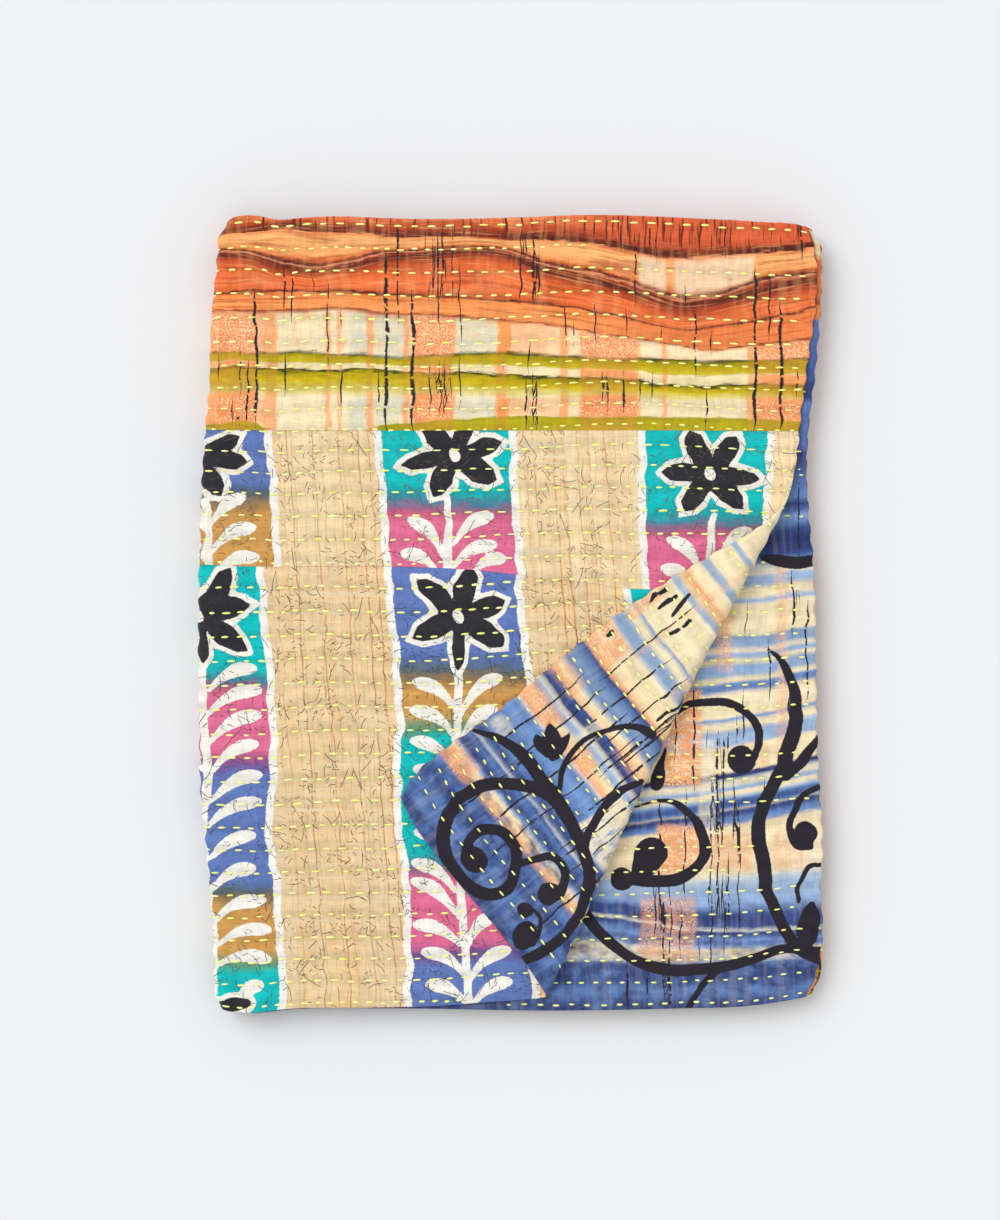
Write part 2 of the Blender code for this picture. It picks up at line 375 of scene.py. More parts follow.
@dataclass(frozen=True)
class Folding:
    """How the flat quilt is folded: in half across its width, then in four passes."""

    layer: float = 2.2 * MM
    air: float = 1.2 * MM
    passes: int = 4
    front: float = -314 * MM
    back: float = 314 * MM
    ripple: float = 1.1 * MM
    ripple_length: float = 205 * MM
    fuller_left: float = 0.07
    fuller_back: float = 0.05
    swell: float = 0.022
    felt: float = 30 * MM
    swell_length: float = 330 * MM
    swell_width: float = 420 * MM
    pass_length: float = 478 * MM  # of the cloth in one pass, without its turns

    upper_side_hem: Curve = Curve((
        (-314, 229), (-293, 235.4), (-262, 237.3), (-211, 235.2), (-109, 237), (-41, 233.5),
        (8, 227.5), (59, 222.5), (97, 224.5), (128, 227.9), (165, 231.1), (191, 234.2),
        (216, 237.4), (248, 242.1), (283, 242.9), (304, 240), (314, 237),
    ))
    lower_side_hem: Curve = Curve((
        (-314, 235), (-295, 242.5), (-278, 246.3), (-215, 247.3), (-177, 248.1), (-124, 244.9),
        (-34, 242.7), (35, 241), (81, 236.9), (110, 235.4), (150, 236.9), (213, 243.7),
        (286, 247), (304, 246), (314, 240),
    ))
    top_left_turn: Curve = Curve((
        (-314, -228.3), (-305, -233), (-277, -235), (-238, -236.4), (-181, -241.7),
        (-147, -245), (-68, -247.3), (-4, -247.7), (43, -246.9), (90, -245.3), (138, -242.9),
        (181, -239.2), (245, -235), (288, -232.7), (308, -230.3), (314, -226),
    ))
    right_turn: Curve = Curve((
        (-314, 239), (-295, 247), (-275, 248.2), (-184, 245), (-68, 241), (48, 237),
        (121, 233.5), (230, 241), (290, 246.5), (314, 241),
    ))
    bottom_left_turn: Curve = Curve((
        (-314, -227), (-240, -233.5), (-116, -244.5), (0, -246), (140, -241), (292, -231),
        (314, -225),
    ))
    bottom_side_hem: Curve = Curve((
        (-314, 236), (-150, 240), (0, 236), (150, 234), (314, 238),
    ))
    upper_long_hem: Curve = Curve((
        (-248, -309), (-228, -313.2), (-209, -315.3), (-177, -312.4), (-112, -311.4),
        (-48, -309.3), (-24, -307.3), (15, -304.5), (63, -300), (103, -300.9), (156, -302.5),
        (186, -302.3), (215, -299.2), (232, -294), (245, -284),
    ))
    lower_long_hem: Curve = Curve((
        (-248, -310), (-228, -313.2), (-209, -316.1), (-177, -313.2), (-95, -312.4),
        (41, -314), (132, -312.4), (188, -310.5), (215, -307), (250, -300),
    ))
    half_fold: Curve = Curve((
        (-248, 303), (-229, 308.5), (-220, 314.4), (-206, 316.4), (-181, 312.8), (-166, 314.4),
        (-71, 313.6), (8, 314.8), (60, 316.8), (146, 314), (197, 311.2), (232, 307.7),
        (248, 301),
    ))
    square: tuple[float, float] = (-212 * MM, 225 * MM)  # between the rounded corners
    corner_reach: float = 14 * MM  # how far the corners' rounding bends the rows of stitches
    row_drift: Curve = Curve((
        (-314, 0), (-235, -3), (-164, -4.4), (-90, -2.4), (-18, 0.6), (40, 4), (92, 5),
        (140, 1), (192, -3), (250, -2), (314, 0),
    ))

    @property
    def width(self) -> float:
        """From a long hem to the half fold."""
        return self.back - self.front

    @property
    def doubled(self) -> float:
        """The thickness of the cloth folded in half."""
        return 2 * self.layer + self.air

    @property
    def pitch(self) -> float:
        """From one pass to the next."""
        return self.doubled + self.air

    @property
    def half_fold_radius(self) -> float:
        """At the middle of a layer."""
        return (self.layer + self.air) / 2

    @property
    def turn_radius(self) -> float:
        """At the middle of the doubled cloth."""
        return self.pitch / 2

    @property
    def top(self) -> int:
        """The run on top."""
        return 2 * self.passes - 2

    def from_hem(self, across: Array) -> Array:
        """The share of the way from the long hem to the half fold."""
        return np.minimum(np.minimum(across, 3 - across), 1)

    def sides(self, at: Place) -> tuple[Array, Array]:
        """The ends of each point's pass, where its turns or its hem begin.

        Args:
            at: where on the cloth.

        Returns:
            The left ends and the right ends.
        """
        number = at.run // 2
        back = self.front + self.width * self.from_hem(at.across)
        reach = self.turn_radius + self.doubled / 2
        low, high = self.bottom_left_turn.metres(back), self.top_left_turn.metres(back)
        left = np.where(number < 2, low, high)
        low, high = self.lower_side_hem.metres(back), self.upper_side_hem.metres(back)
        hem = np.where(at.across <= 1.5, high, low)
        right = np.where(number == self.passes - 1, hem, self.right_turn.metres(back) - reach)
        right = np.where(number == 0, self.bottom_side_hem.metres(back), right)
        return left + reach, right

    def back_of(self, across: Array, right: Array) -> Array:
        """How far back the middle of a layer lies.

        Args:
            across: where across the cloth.
            right: how far right.

        Returns:
            Distances in metres.
        """
        share = self.from_hem(across)
        ends = []
        for at in (np.clip(right, *self.square), right):
            upper, lower = self.upper_long_hem.metres(at), self.lower_long_hem.metres(at)
            fold = self.half_fold.metres(at) - self.doubled / 2
            ends.append((np.where(across <= 1.5, upper, lower), fold))
        (hem, fold), (true_hem, true_fold) = ends
        by_hem = np.exp(-share * self.width / self.corner_reach)
        by_fold = np.exp(-(1 - share) * self.width / self.corner_reach)
        corners = (true_hem - hem) * by_hem + (true_fold - fold) * by_fold
        waves = 2 * np.pi * (right / self.ripple_length + 2.3 * share)
        ripple = self.ripple * np.sin(waves) * np.sin(np.pi * share)
        drift = self.row_drift.metres(self.front + self.width * share)
        return hem + (fold - hem) * share + corners + drift + ripple

    def fold(self, at: Place, off: Array) -> Array:
        """Folds points of the cloth, before its corner is turned back.

        Args:
            at: where they are on the cloth.
            off: how far outside the middle of the cloth's thickness each is, on the face's side.

        Returns:
            Places in space, with x, y and z last.
        """
        angle = np.pi * np.clip(at.across - 1, 0, 1)
        radius = self.half_fold_radius + off
        out, round_fold = radius * np.cos(angle), radius * np.sin(angle)
        left, right = self.sides(at)
        number = at.run // 2
        middle = self.doubled / 2 + number * self.pitch
        faces_up = np.where(number % 2 == 1, 1, -1)
        turn = self.turn_radius - out * faces_up
        reach = turn * np.sin(np.pi * at.share)
        on_pass = at.run % 2 == 0
        x_turn = np.where(number % 2 == 1, right + reach, left - reach)
        x = np.where(on_pass, left + (right - left) * at.share, x_turn)
        rise = self.turn_radius - turn * np.cos(np.pi * at.share)
        z = middle + np.where(on_pass, out * faces_up, rise)
        return np.stack([x, self.back_of(at.across, x) + round_fold, z], axis=-1)

    def lengths(self) -> list[tuple[int, float]]:
        """Each run, from the one on top down, and the cloth's length in it."""
        turn = np.pi * self.turn_radius
        return [(run, turn if run % 2 else self.pass_length) for run in range(self.top, -1, -1)]

    def to_the_right(self, run: int) -> bool:
        """Whether the cloth, followed down from its top end, goes to the right or upwards there."""
        return run % 4 == 0

    def unrolled(self, at: Place) -> tuple[Array, Array]:
        """The cloth's own directions.

        Args:
            at: where on the cloth.

        Returns:
            Places along its length and up its width, in metres.
        """
        left, right = self.sides(at)
        along = left + (right - left) * at.share
        gone = 0.0
        for run, length in self.lengths()[1:]:
            part = at.share if self.to_the_right(run) else 1 - at.share
            along = np.where(at.run == run, left - gone - length * part, along)
            gone += length
        up = self.back_of(at.across, np.clip(along, -240 * MM, 240 * MM))
        bend = self.half_fold_radius * np.pi * np.clip(at.across - 1, 0, 1)
        up = np.where(at.across < 2, up + bend, 2 * self.back - up)
        return along, up

    def place(self, along: Array, across: Array) -> Place:
        """Where points that are known in the cloth's own directions lie in the folds.

        Args:
            along: how far along the cloth.
            across: where across it.

        Returns:
            The places.
        """
        on_top = Place(np.full(along.shape, self.top), np.zeros(along.shape), across)
        left, right = self.sides(on_top)
        run, share = on_top.run, (along - left) / (right - left)
        gone = 0.0
        for number, length in self.lengths()[1:]:
            part = (left - along - gone) / length
            here = part > 0
            part = np.clip(part, 0, 1)
            run = np.where(here, number, run)
            share = np.where(here, part if self.to_the_right(number) else 1 - part, share)
            gone += length
        return Place(run, share, across)

    def settle(self, point: Array) -> Array:
        """Lets the stack stand fuller at its folds, and swell and sink a little on top.

        Args:
            point: places in space.

        Returns:
            The places that they settle to.
        """
        x, y, z = point[..., 0], point[..., 1], point[..., 2]
        by_turn = np.exp(-(((x - self.top_left_turn.metres(y)) / self.felt) ** 2))
        by_fold = np.exp(-(((self.half_fold.metres(x) - y) / self.felt) ** 2))
        wave = np.sin(2 * np.pi * x / self.swell_length + 1)
        wave = self.swell * wave * np.sin(2 * np.pi * y / self.swell_width)
        rise = self.fuller_left * by_turn + self.fuller_back * by_fold + wave
        return np.stack([x, y, z * (1 + rise)], axis=-1)


@dataclass(frozen=True)
class TurnedCorner:
    """The free corner on top, rolled up and over to the left."""

    folding: Folding
    back_end: tuple[float, float] = (206.6 * MM, 69.1 * MM)
    front_end: tuple[float, float] = (27.3 * MM, -303 * MM)
    back_radius: float = 9.0 * MM
    front_radius: float = 3.9 * MM
    bowed: float = 4.5 * MM
    rest: float = 1.4 * MM  # clear of the layer that it lies on
    settles_in: float = 52 * MM

    @property
    def height(self) -> float:
        """Of the middle of the layer on top, while it is flat."""
        f = self.folding
        return f.doubled / 2 + (f.passes - 1) * f.pitch + f.half_fold_radius

    @cached_property
    def axes(self) -> tuple[Array, Array, Array, float]:
        """How the roll lies.

        Returns:
            Its back end, the way along it, the way out to the corner, and its length.
        """
        start, end = np.array(self.back_end), np.array(self.front_end)
        length = float(np.linalg.norm(end - start))
        along = (end - start) / length
        return start, along, np.array([-along[1], along[0]]), length

    def radius(self, along: Array) -> Array:
        """The roll's radius at a distance from its back end."""
        return self.back_radius + (self.front_radius - self.back_radius) * along / self.axes[3]

    def past(self, point: Array) -> Array:
        """How far past the start of the roll points of the flat layer lie.

        Args:
            point: places in space.

        Returns:
            Distances in metres.
        """
        start, along_way, out_way, _ = self.axes
        from_end = point[..., :2] - start
        return from_end @ out_way + self.radius(from_end @ along_way)

    def turn(self, point: Array) -> Array:
        """Rolls points of the layer on top, as far as they lie past the roll's start.

        Args:
            point: places in space.

        Returns:
            The places that they are turned to.
        """
        start, along_way, out_way, length = self.axes
        along = (point[..., :2] - start) @ along_way
        radius, past = self.radius(along), self.past(point)
        height = point[..., 2] - self.height
        angle = np.clip(past / radius, 0, np.pi)
        beyond = np.maximum(past - np.pi * radius, 0)
        out = (radius - height) * np.sin(angle) - beyond - radius
        lift = radius - (radius - height) * np.cos(angle)
        drop = 2 * radius - self.folding.layer - self.rest
        lift = lift - drop * eased(beyond / self.settles_in)
        seat = start + along[..., None] * along_way + out[..., None] * out_way
        rolled = np.concatenate([seat, (self.height + lift)[..., None]], axis=-1)
        point = np.where((past > 0)[..., None], rolled, point)
        share = (point[..., :2] - start) @ along_way / length
        out = (point[..., :2] - start) @ out_way
        bow = np.sin(np.pi * np.clip(share, 0, 1) ** 0.7) ** 2 * np.exp(-((out / (60 * MM)) ** 2))
        moved = point[..., :2] - (self.bowed * bow)[..., None] * out_way
        return np.concatenate([moved, point[..., 2:]], axis=-1)


@dataclass(frozen=True)
class Quilting:
    """Rows of running stitch along the length, and the relief that they draw the cloth into."""

    folding: Folding
    rows: int = 35
    pitch: float = 18.25 * MM
    first: float = 4.5 * MM
    starts: float = -1.99  # how far along the cloth a row begins
    length: float = 2.3  # how far it goes at least, with its stitches at their mean length
    shown: float = 6.6 * MM  # thread on the face
    hidden: float = 5.3 * MM  # thread on the reverse, between two stitches of the face
    puff: float = 0.5 * MM
    dimple: float = 0.5 * MM
    dimple_size: Size = (1.3 * MM, 1.7 * MM)
    pucker: float = 0.3 * MM
    pucker_width: float = 4.2 * MM
    round_turn: float = 0.7 * MM  # how much more the rows draw in where the face goes round a turn
    inside_turn: float = 0.15  # how much of the relief is left on the side that is pressed together
    deepest: float = 0.42  # of a layer's thickness
    at_half_fold: float = 0.5  # how much of the relief is left there
    inner: tuple[float, float] = (-0.5 * MM, 0.45 * MM)  # its limits inside the stack
    inner_share: float = 0.6  # how much of it is left there
    pressed: float = 0.55 * MM  # how far the floor presses the lowest face in
    off_floor: float = 0.02 * MM
    floor_share: float = 0.8  # how much of the relief is left there
    crumples: Rows = (  # height, size along and up, and seed of each kind
        (0.17 * MM, 5.5 * MM, 16 * MM, 3),
        (0.22 * MM, 13 * MM, 9 * MM, 5),
        (0.22 * MM, 45 * MM, 32 * MM, 11),
    )

    def needle(self, half: Half, row: int) -> Array:
        """Where the needle goes through the cloth along one row: down and up by turns.

        Args:
            half: which half of the width.
            row: which row.

        Returns:
            Places along the cloth.
        """
        rng = np.random.default_rng(7919 + 101 * row + 53 * half.value)
        size = rng.normal(1, 0.07)
        count = 2 * int(self.length / (self.shown + self.hidden)) + 2
        steps = np.where(np.arange(count) % 2 == 0, self.shown, self.hidden)
        steps = steps * size * np.clip(rng.normal(1, 0.11, count), 0.7, 1.35)
        start = self.starts - rng.uniform(0, 0.012)
        return start + np.concatenate([[0.0], np.cumsum(steps)])

    def row_at(self, across: Array) -> Array:
        """Which row lies there, with shares of the way to the next."""
        return (self.folding.from_hem(across) * self.folding.width - self.first) / self.pitch

    def relief(self, side: Side, at: Place, along: Array, up: Array) -> Array:
        """How far the cloth stands out of its mean surface.

        Args:
            side: which side of the quilt.
            at: where on the cloth.
            along: the cloth's own directions there.
            up: the same.

        Returns:
            Heights in metres, outwards on that side.
        """
        rows = self.row_at(at.across)
        near = np.clip(np.round(rows), 0, self.rows - 1)
        off_row = (rows - near) * self.pitch
        stands = -self.puff * np.cos(2 * np.pi * np.clip(rows, -0.25, self.rows - 0.9))
        stands = stands + self._drawn_in(side, at, along, near, off_row)
        for height, long, wide, seed in self.crumples:
            stands = stands + height * uneven(along, up, (long, wide), seed)
        tight = 0.5 + 0.5 * np.cos(2 * np.pi * rows)
        if side is Side.FACE:
            stands = np.where(at.run % 2 == 1, stands - self.round_turn * tight, stands)
        else:
            stands = np.where(at.run % 2 == 1, self.inside_turn * stands, stands)
        stands = np.maximum(stands, -self.deepest * self.folding.layer)
        round_fold = (at.across > 1.0) & (at.across < 2.0)
        stands = np.where(round_fold, stands * self.at_half_fold, stands)
        hidden = (at.run > 0) & (at.run < self.folding.top - 1)
        stands = np.where(hidden, np.clip(stands, *self.inner) * self.inner_share, stands)
        underneath = (at.run == 0) & (at.across < 1.5) & (side is Side.FACE)
        pressed = np.minimum(stands - self.pressed, -self.off_floor) * self.floor_share
        return np.where(underneath, pressed, stands)

    def _drawn_in(
        self, side: Side, at: Place, along: Array, near: Array, off_row: Array
    ) -> Array:
        """The dimples where the thread goes through, and the puckers between them.

        Args:
            side: which side of the quilt.
            at: where on the cloth.
            along: how far along the cloth.
            near: which row is the nearest.
            off_row: how far from it.

        Returns:
            Heights in metres, outwards on that side.
        """
        found = np.zeros(along.shape)
        upper = np.broadcast_to(at.across <= 1.5, along.shape)
        for half in Half:
            for row in range(self.rows):
                here = (near == row) & (upper == (half is Half.UPPER))
                if not here.any():
                    continue
                needle, x, off = self.needle(half, row), along[here], off_row[here]
                i = np.clip(np.searchsorted(needle, x), 1, len(needle) - 1)
                before, after = x - needle[i - 1], needle[i] - x
                closest = np.minimum(np.abs(before), np.abs(after))
                long, wide = self.dimple_size
                pit = np.exp(-((closest / long) ** 2) - (off / wide) ** 2)
                on_face = (i % 2 == 1) == (side is Side.FACE)
                arch = np.sin(np.pi * np.clip(before / (before + after), 0, 1))
                bulge = np.where(on_face, -0.8, 1.0) * arch * self.pucker
                found[here] = bulge * np.exp(-((off / self.pucker_width) ** 2)) - self.dimple * pit
        return found


# The cloth


class Mesh(NamedTuple):
    """Points, faces and, for each point, the fields that its print is drawn from."""

    points: Array
    faces: Array
    fields: dict[str, Array]
    sheet: Array  # where each point lies on the cloth's own image sheet


def make_object(name: str, mesh: Mesh, material: bpy.types.Material) -> bpy.types.Object:
    """Makes a smooth mesh object.

    Args:
        name: the object's name.
        mesh: its points, faces and fields.
        material: its finish.

    Returns:
        The object, linked to the scene.
    """
    data = bpy.data.meshes.new(name)
    data.from_pydata(mesh.points.tolist(), [], mesh.faces.tolist(), shade_flat=False)
    for field_name, values in mesh.fields.items():
        layer = data.attributes.new(field_name, "FLOAT", "POINT")
        layer.data.foreach_set("value", values.astype(np.float32))
    if mesh.sheet.size:
        layer = data.uv_layers.new(name="OFBake")
        layer.data.foreach_set("uv", mesh.sheet[mesh.faces.ravel()].astype(np.float32).ravel())
    data.materials.append(material)
    data.validate()
    return add_to_scene(name, data)


def grid_faces(rows: int, columns: int, flip: bool) -> Array:
    """The squares between a grid's points, each as four corners.

    Args:
        rows: how many rows of points.
        columns: how many points in each row.
        flip: whether the squares face the other way.

    Returns:
        Point numbers, four for each square.
    """
    first = (np.arange(rows - 1)[:, None] * columns + np.arange(columns - 1)).ravel()
    square = np.stack([first, first + 1, first + columns + 1, first + columns], axis=-1)
    return square[:, ::-1] if flip else square


HEM_STEPS = np.array([0, 0.15, 0.5, 1.1, 2.0]) * MM  # in from a raw edge, as it rounds off
PAST_HEM = 3 * MM  # where the even rows begin


@dataclass(frozen=True)
class Sewn:
    """The folded, stitched cloth: everything that a surface or a stitch needs to find its place."""

    folding: Folding
    corner: TurnedCorner
    quilting: Quilting
    smooth_hem: tuple[float, float] = (1 * MM, 4 * MM)  # where the relief sets in, and how slowly
    hem_ridge: float = 0.4 * MM
    ridge_at: float = 3 * MM
    ridge_width: float = 1.6 * MM
    scallop: float = 1.5 * MM
    scallop_reach: float = 9 * MM

    def from_edge(self, at: Place) -> Array:
        """How far each point lies from the nearest raw edge of the quilt.

        Args:
            at: where on the cloth.

        Returns:
            Distances in metres.
        """
        f = self.folding
        side = np.where((at.run == f.top) | (at.run == 0), (1 - at.share) * f.pass_length, 1.0)
        return np.minimum(f.from_hem(at.across) * f.width, side)

    def surface(self, side: Side, at: Place, lift: Array | float = 0.0) -> Array:
        """Points on one side of the cloth.

        Args:
            side: which side.
            at: where on the cloth.
            lift: how far each stands clear of the surface.

        Returns:
            Places in space.
        """
        f = self.folding
        along, up = f.unrolled(at)
        edge = self.from_edge(at)
        half = f.layer / 2
        inset = np.clip(edge, 0, half)
        rounded = np.sqrt(np.maximum(half**2 - (half - inset) ** 2, 0))
        first, over = self.smooth_hem
        stands = self.quilting.relief(side, at, along, up) * eased((edge - first) / over)
        ridge = np.exp(-(((edge - self.ridge_at) / self.ridge_width) ** 2))
        stands = stands + self.hem_ridge * ridge
        at = self._drawn_in(at)
        point = f.fold(at, side.value * (rounded + stands + lift))
        free = (at.run == f.top) & (at.across < 1)
        turned = self.corner.turn(point)
        point = f.settle(np.where(free[..., None], turned, point))
        return np.concatenate([point[..., :2], np.maximum(point[..., 2:], 0.0)], axis=-1)

    def _drawn_in(self, at: Place) -> Place:
        """Pulls the side hems in a little at the end of each row of stitches.

        Args:
            at: where on the cloth.

        Returns:
            The places after the pull.
        """
        tight = 0.5 + 0.5 * np.cos(2 * np.pi * self.quilting.row_at(at.across))
        hem = (at.run == self.folding.top) | (at.run == 0)
        length = self.folding.pass_length
        near = np.exp(-(1 - at.share) * length / self.scallop_reach)
        pull = self.scallop * tight * near / length
        return at._replace(share=np.where(hem, at.share - pull, at.share))

    def past_roll(self, at: Place) -> Array:
        """How far past the start of the turned corner's roll points of the top pass lie."""
        return self.corner.past(self.folding.fold(at, np.zeros(at.run.shape)))


def spread(start: float, end: float, cells: int) -> Array:
    """Evenly spread places with both ends."""
    return np.linspace(start, end, cells + 1)


@dataclass(frozen=True)
class Fineness:
    """How finely a surface is divided: most where it shows, least inside the stack."""

    top_right: int = 137
    top_left: int = 137
    turn: int = 12
    between: int = 14
    underneath: int = 60
    rows_per_metre: float = 480.0

    def columns(self, folding: Folding) -> tuple[Array, Array]:
        """A grid's columns, from the side hem on top downwards.

        Args:
            folding: the folds.

        Returns:
            Their runs and their shares.
        """
        hem = 1 - HEM_STEPS / folding.pass_length
        right, left = spread(0.9925, 0.5, self.top_right), spread(0.5, 0, self.top_left)
        shares = [np.concatenate([hem, right, left[1:]])]
        runs = [np.full(len(shares[0]), folding.top)]
        for run, _ in folding.lengths()[1:]:
            cells = self.turn if run % 2 else self.underneath if run == 0 else self.between
            share = spread(0, 1, cells) if folding.to_the_right(run) else spread(1, 0, cells)
            runs.append(np.full(cells, run))
            shares.append(share[1:])
        shares[-1] = np.concatenate([shares[-1][:-1], hem[:0:-1], [1.0]])
        runs[-1] = np.full(len(shares[-1]), 0)
        return np.concatenate(runs), np.concatenate(shares)


def hem_rows(folding: Folding) -> Array:
    """Shares of the way up the width that round off a raw edge."""
    return HEM_STEPS / folding.width


@dataclass(frozen=True)
class Weave:
    """Turns grids of places on the cloth into one surface that carries a print."""

    sewn: Sewn
    side: Side
    prints: "Print"
    fineness: Fineness = Fineness()
    seam_width: float = 6 * MM  # of the part that stands up where an edge is turned under
    crooked: Rows = (  # how far the print strays along and up, and its strays' sizes and seed
        (1.2 * MM, 70 * MM, 9 * MM, 33),
        (0.8 * MM, 17 * MM, 30 * MM, 34),
    )

    def line(self, line: Curve) -> Array:
        """Where a line crosses each column of the grid.

        Args:
            line: (along, up) rows, in millimetres.

        Returns:
            One value across for each column.
        """
        f = self.sewn.folding
        run, share = self.fineness.columns(f)
        along = f.unrolled(Place(run, share, np.full(len(run), 0.5)))[0]
        wanted = line.metres(np.clip(along, -244 * MM, 244 * MM))
        across = (wanted - f.front) / f.width
        for _ in range(4):
            across = across + (wanted - f.unrolled(Place(run, share, across))[1]) / f.width
        return across

    def between(self, low: Array | float, high: Array | float) -> Array:
        """Rows of across from one line to another.

        Args:
            low: the first line's across, in each column or all along.
            high: the other's.

        Returns:
            A value for each row and column.
        """
        rise = high - low
        count = int(np.mean(rise) * self.sewn.folding.width * self.fineness.rows_per_metre)
        rows = low + rise * spread(0, 1, count)[:, None]
        return rows + np.zeros(len(self.fineness.columns(self.sewn.folding)[0]))

    def grid(self, *rows: Array) -> Place:
        """A grid of places.

        Args:
            rows: rows of across, each the same all along or with a value for each column.

        Returns:
            The places, by row and column.
        """
        run, share = self.fineness.columns(self.sewn.folding)
        full = [row if row.ndim == 2 else row[:, None] + np.zeros(len(run)) for row in rows]
        return Place(*np.broadcast_arrays(run, share, np.concatenate(full)))

    def over_seam(self, at: Place, height: float) -> Array:
        """How far a grid stands up along its first row, where its edge is turned under."""
        from_seam = (at.across - at.across[:1]) * self.sewn.folding.width
        return height * np.exp(-((from_seam / self.seam_width) ** 4))

    def mesh(self, *parts: tuple[Place, Array]) -> Mesh:
        """Folds grids of places into one surface.

        Args:
            parts: each grid, with how far it stands clear.

        Returns:
            The surface.
        """
        points, faces, sheet, fields, first = [], [], [], [], 0
        tall = [at.run.shape[0] for at, _ in parts]
        for number, (at, lift) in enumerate(parts):
            rows, columns = at.run.shape
            points.append(self.sewn.surface(self.side, at, lift).reshape(-1, 3))
            faces.append(grid_faces(rows, columns, self.side is Side.FACE) + first)
            u, v = np.meshgrid(np.linspace(0.004, 0.996, columns), np.linspace(0, 1, rows))
            v = (sum(tall[:number]) + (0.003 + 0.994 * v) * tall[number]) / sum(tall)
            sheet.append(np.stack([u.ravel(), v.ravel()], axis=-1))
            along, up = self.sewn.folding.unrolled(at)
            side, rise = (
                reach * uneven(along, up, (long, wide), seed)
                for reach, long, wide, seed in self.crooked
            )
            found = self.prints.fields((along + side).ravel(), (up + rise).ravel())
            # The relief's height, which the finish uses to paint shade into the hollows and to pale the raised cloth.
            found["height"] = self.sewn.quilting.relief(self.side, at, along, up).ravel() / MM
            fields.append(found)
            first += rows * columns
        joined = {name: np.concatenate([part[name] for part in fields]) for name in fields[0]}
        return Mesh(np.concatenate(points), np.concatenate(faces), joined, np.concatenate(sheet))


# The stitching


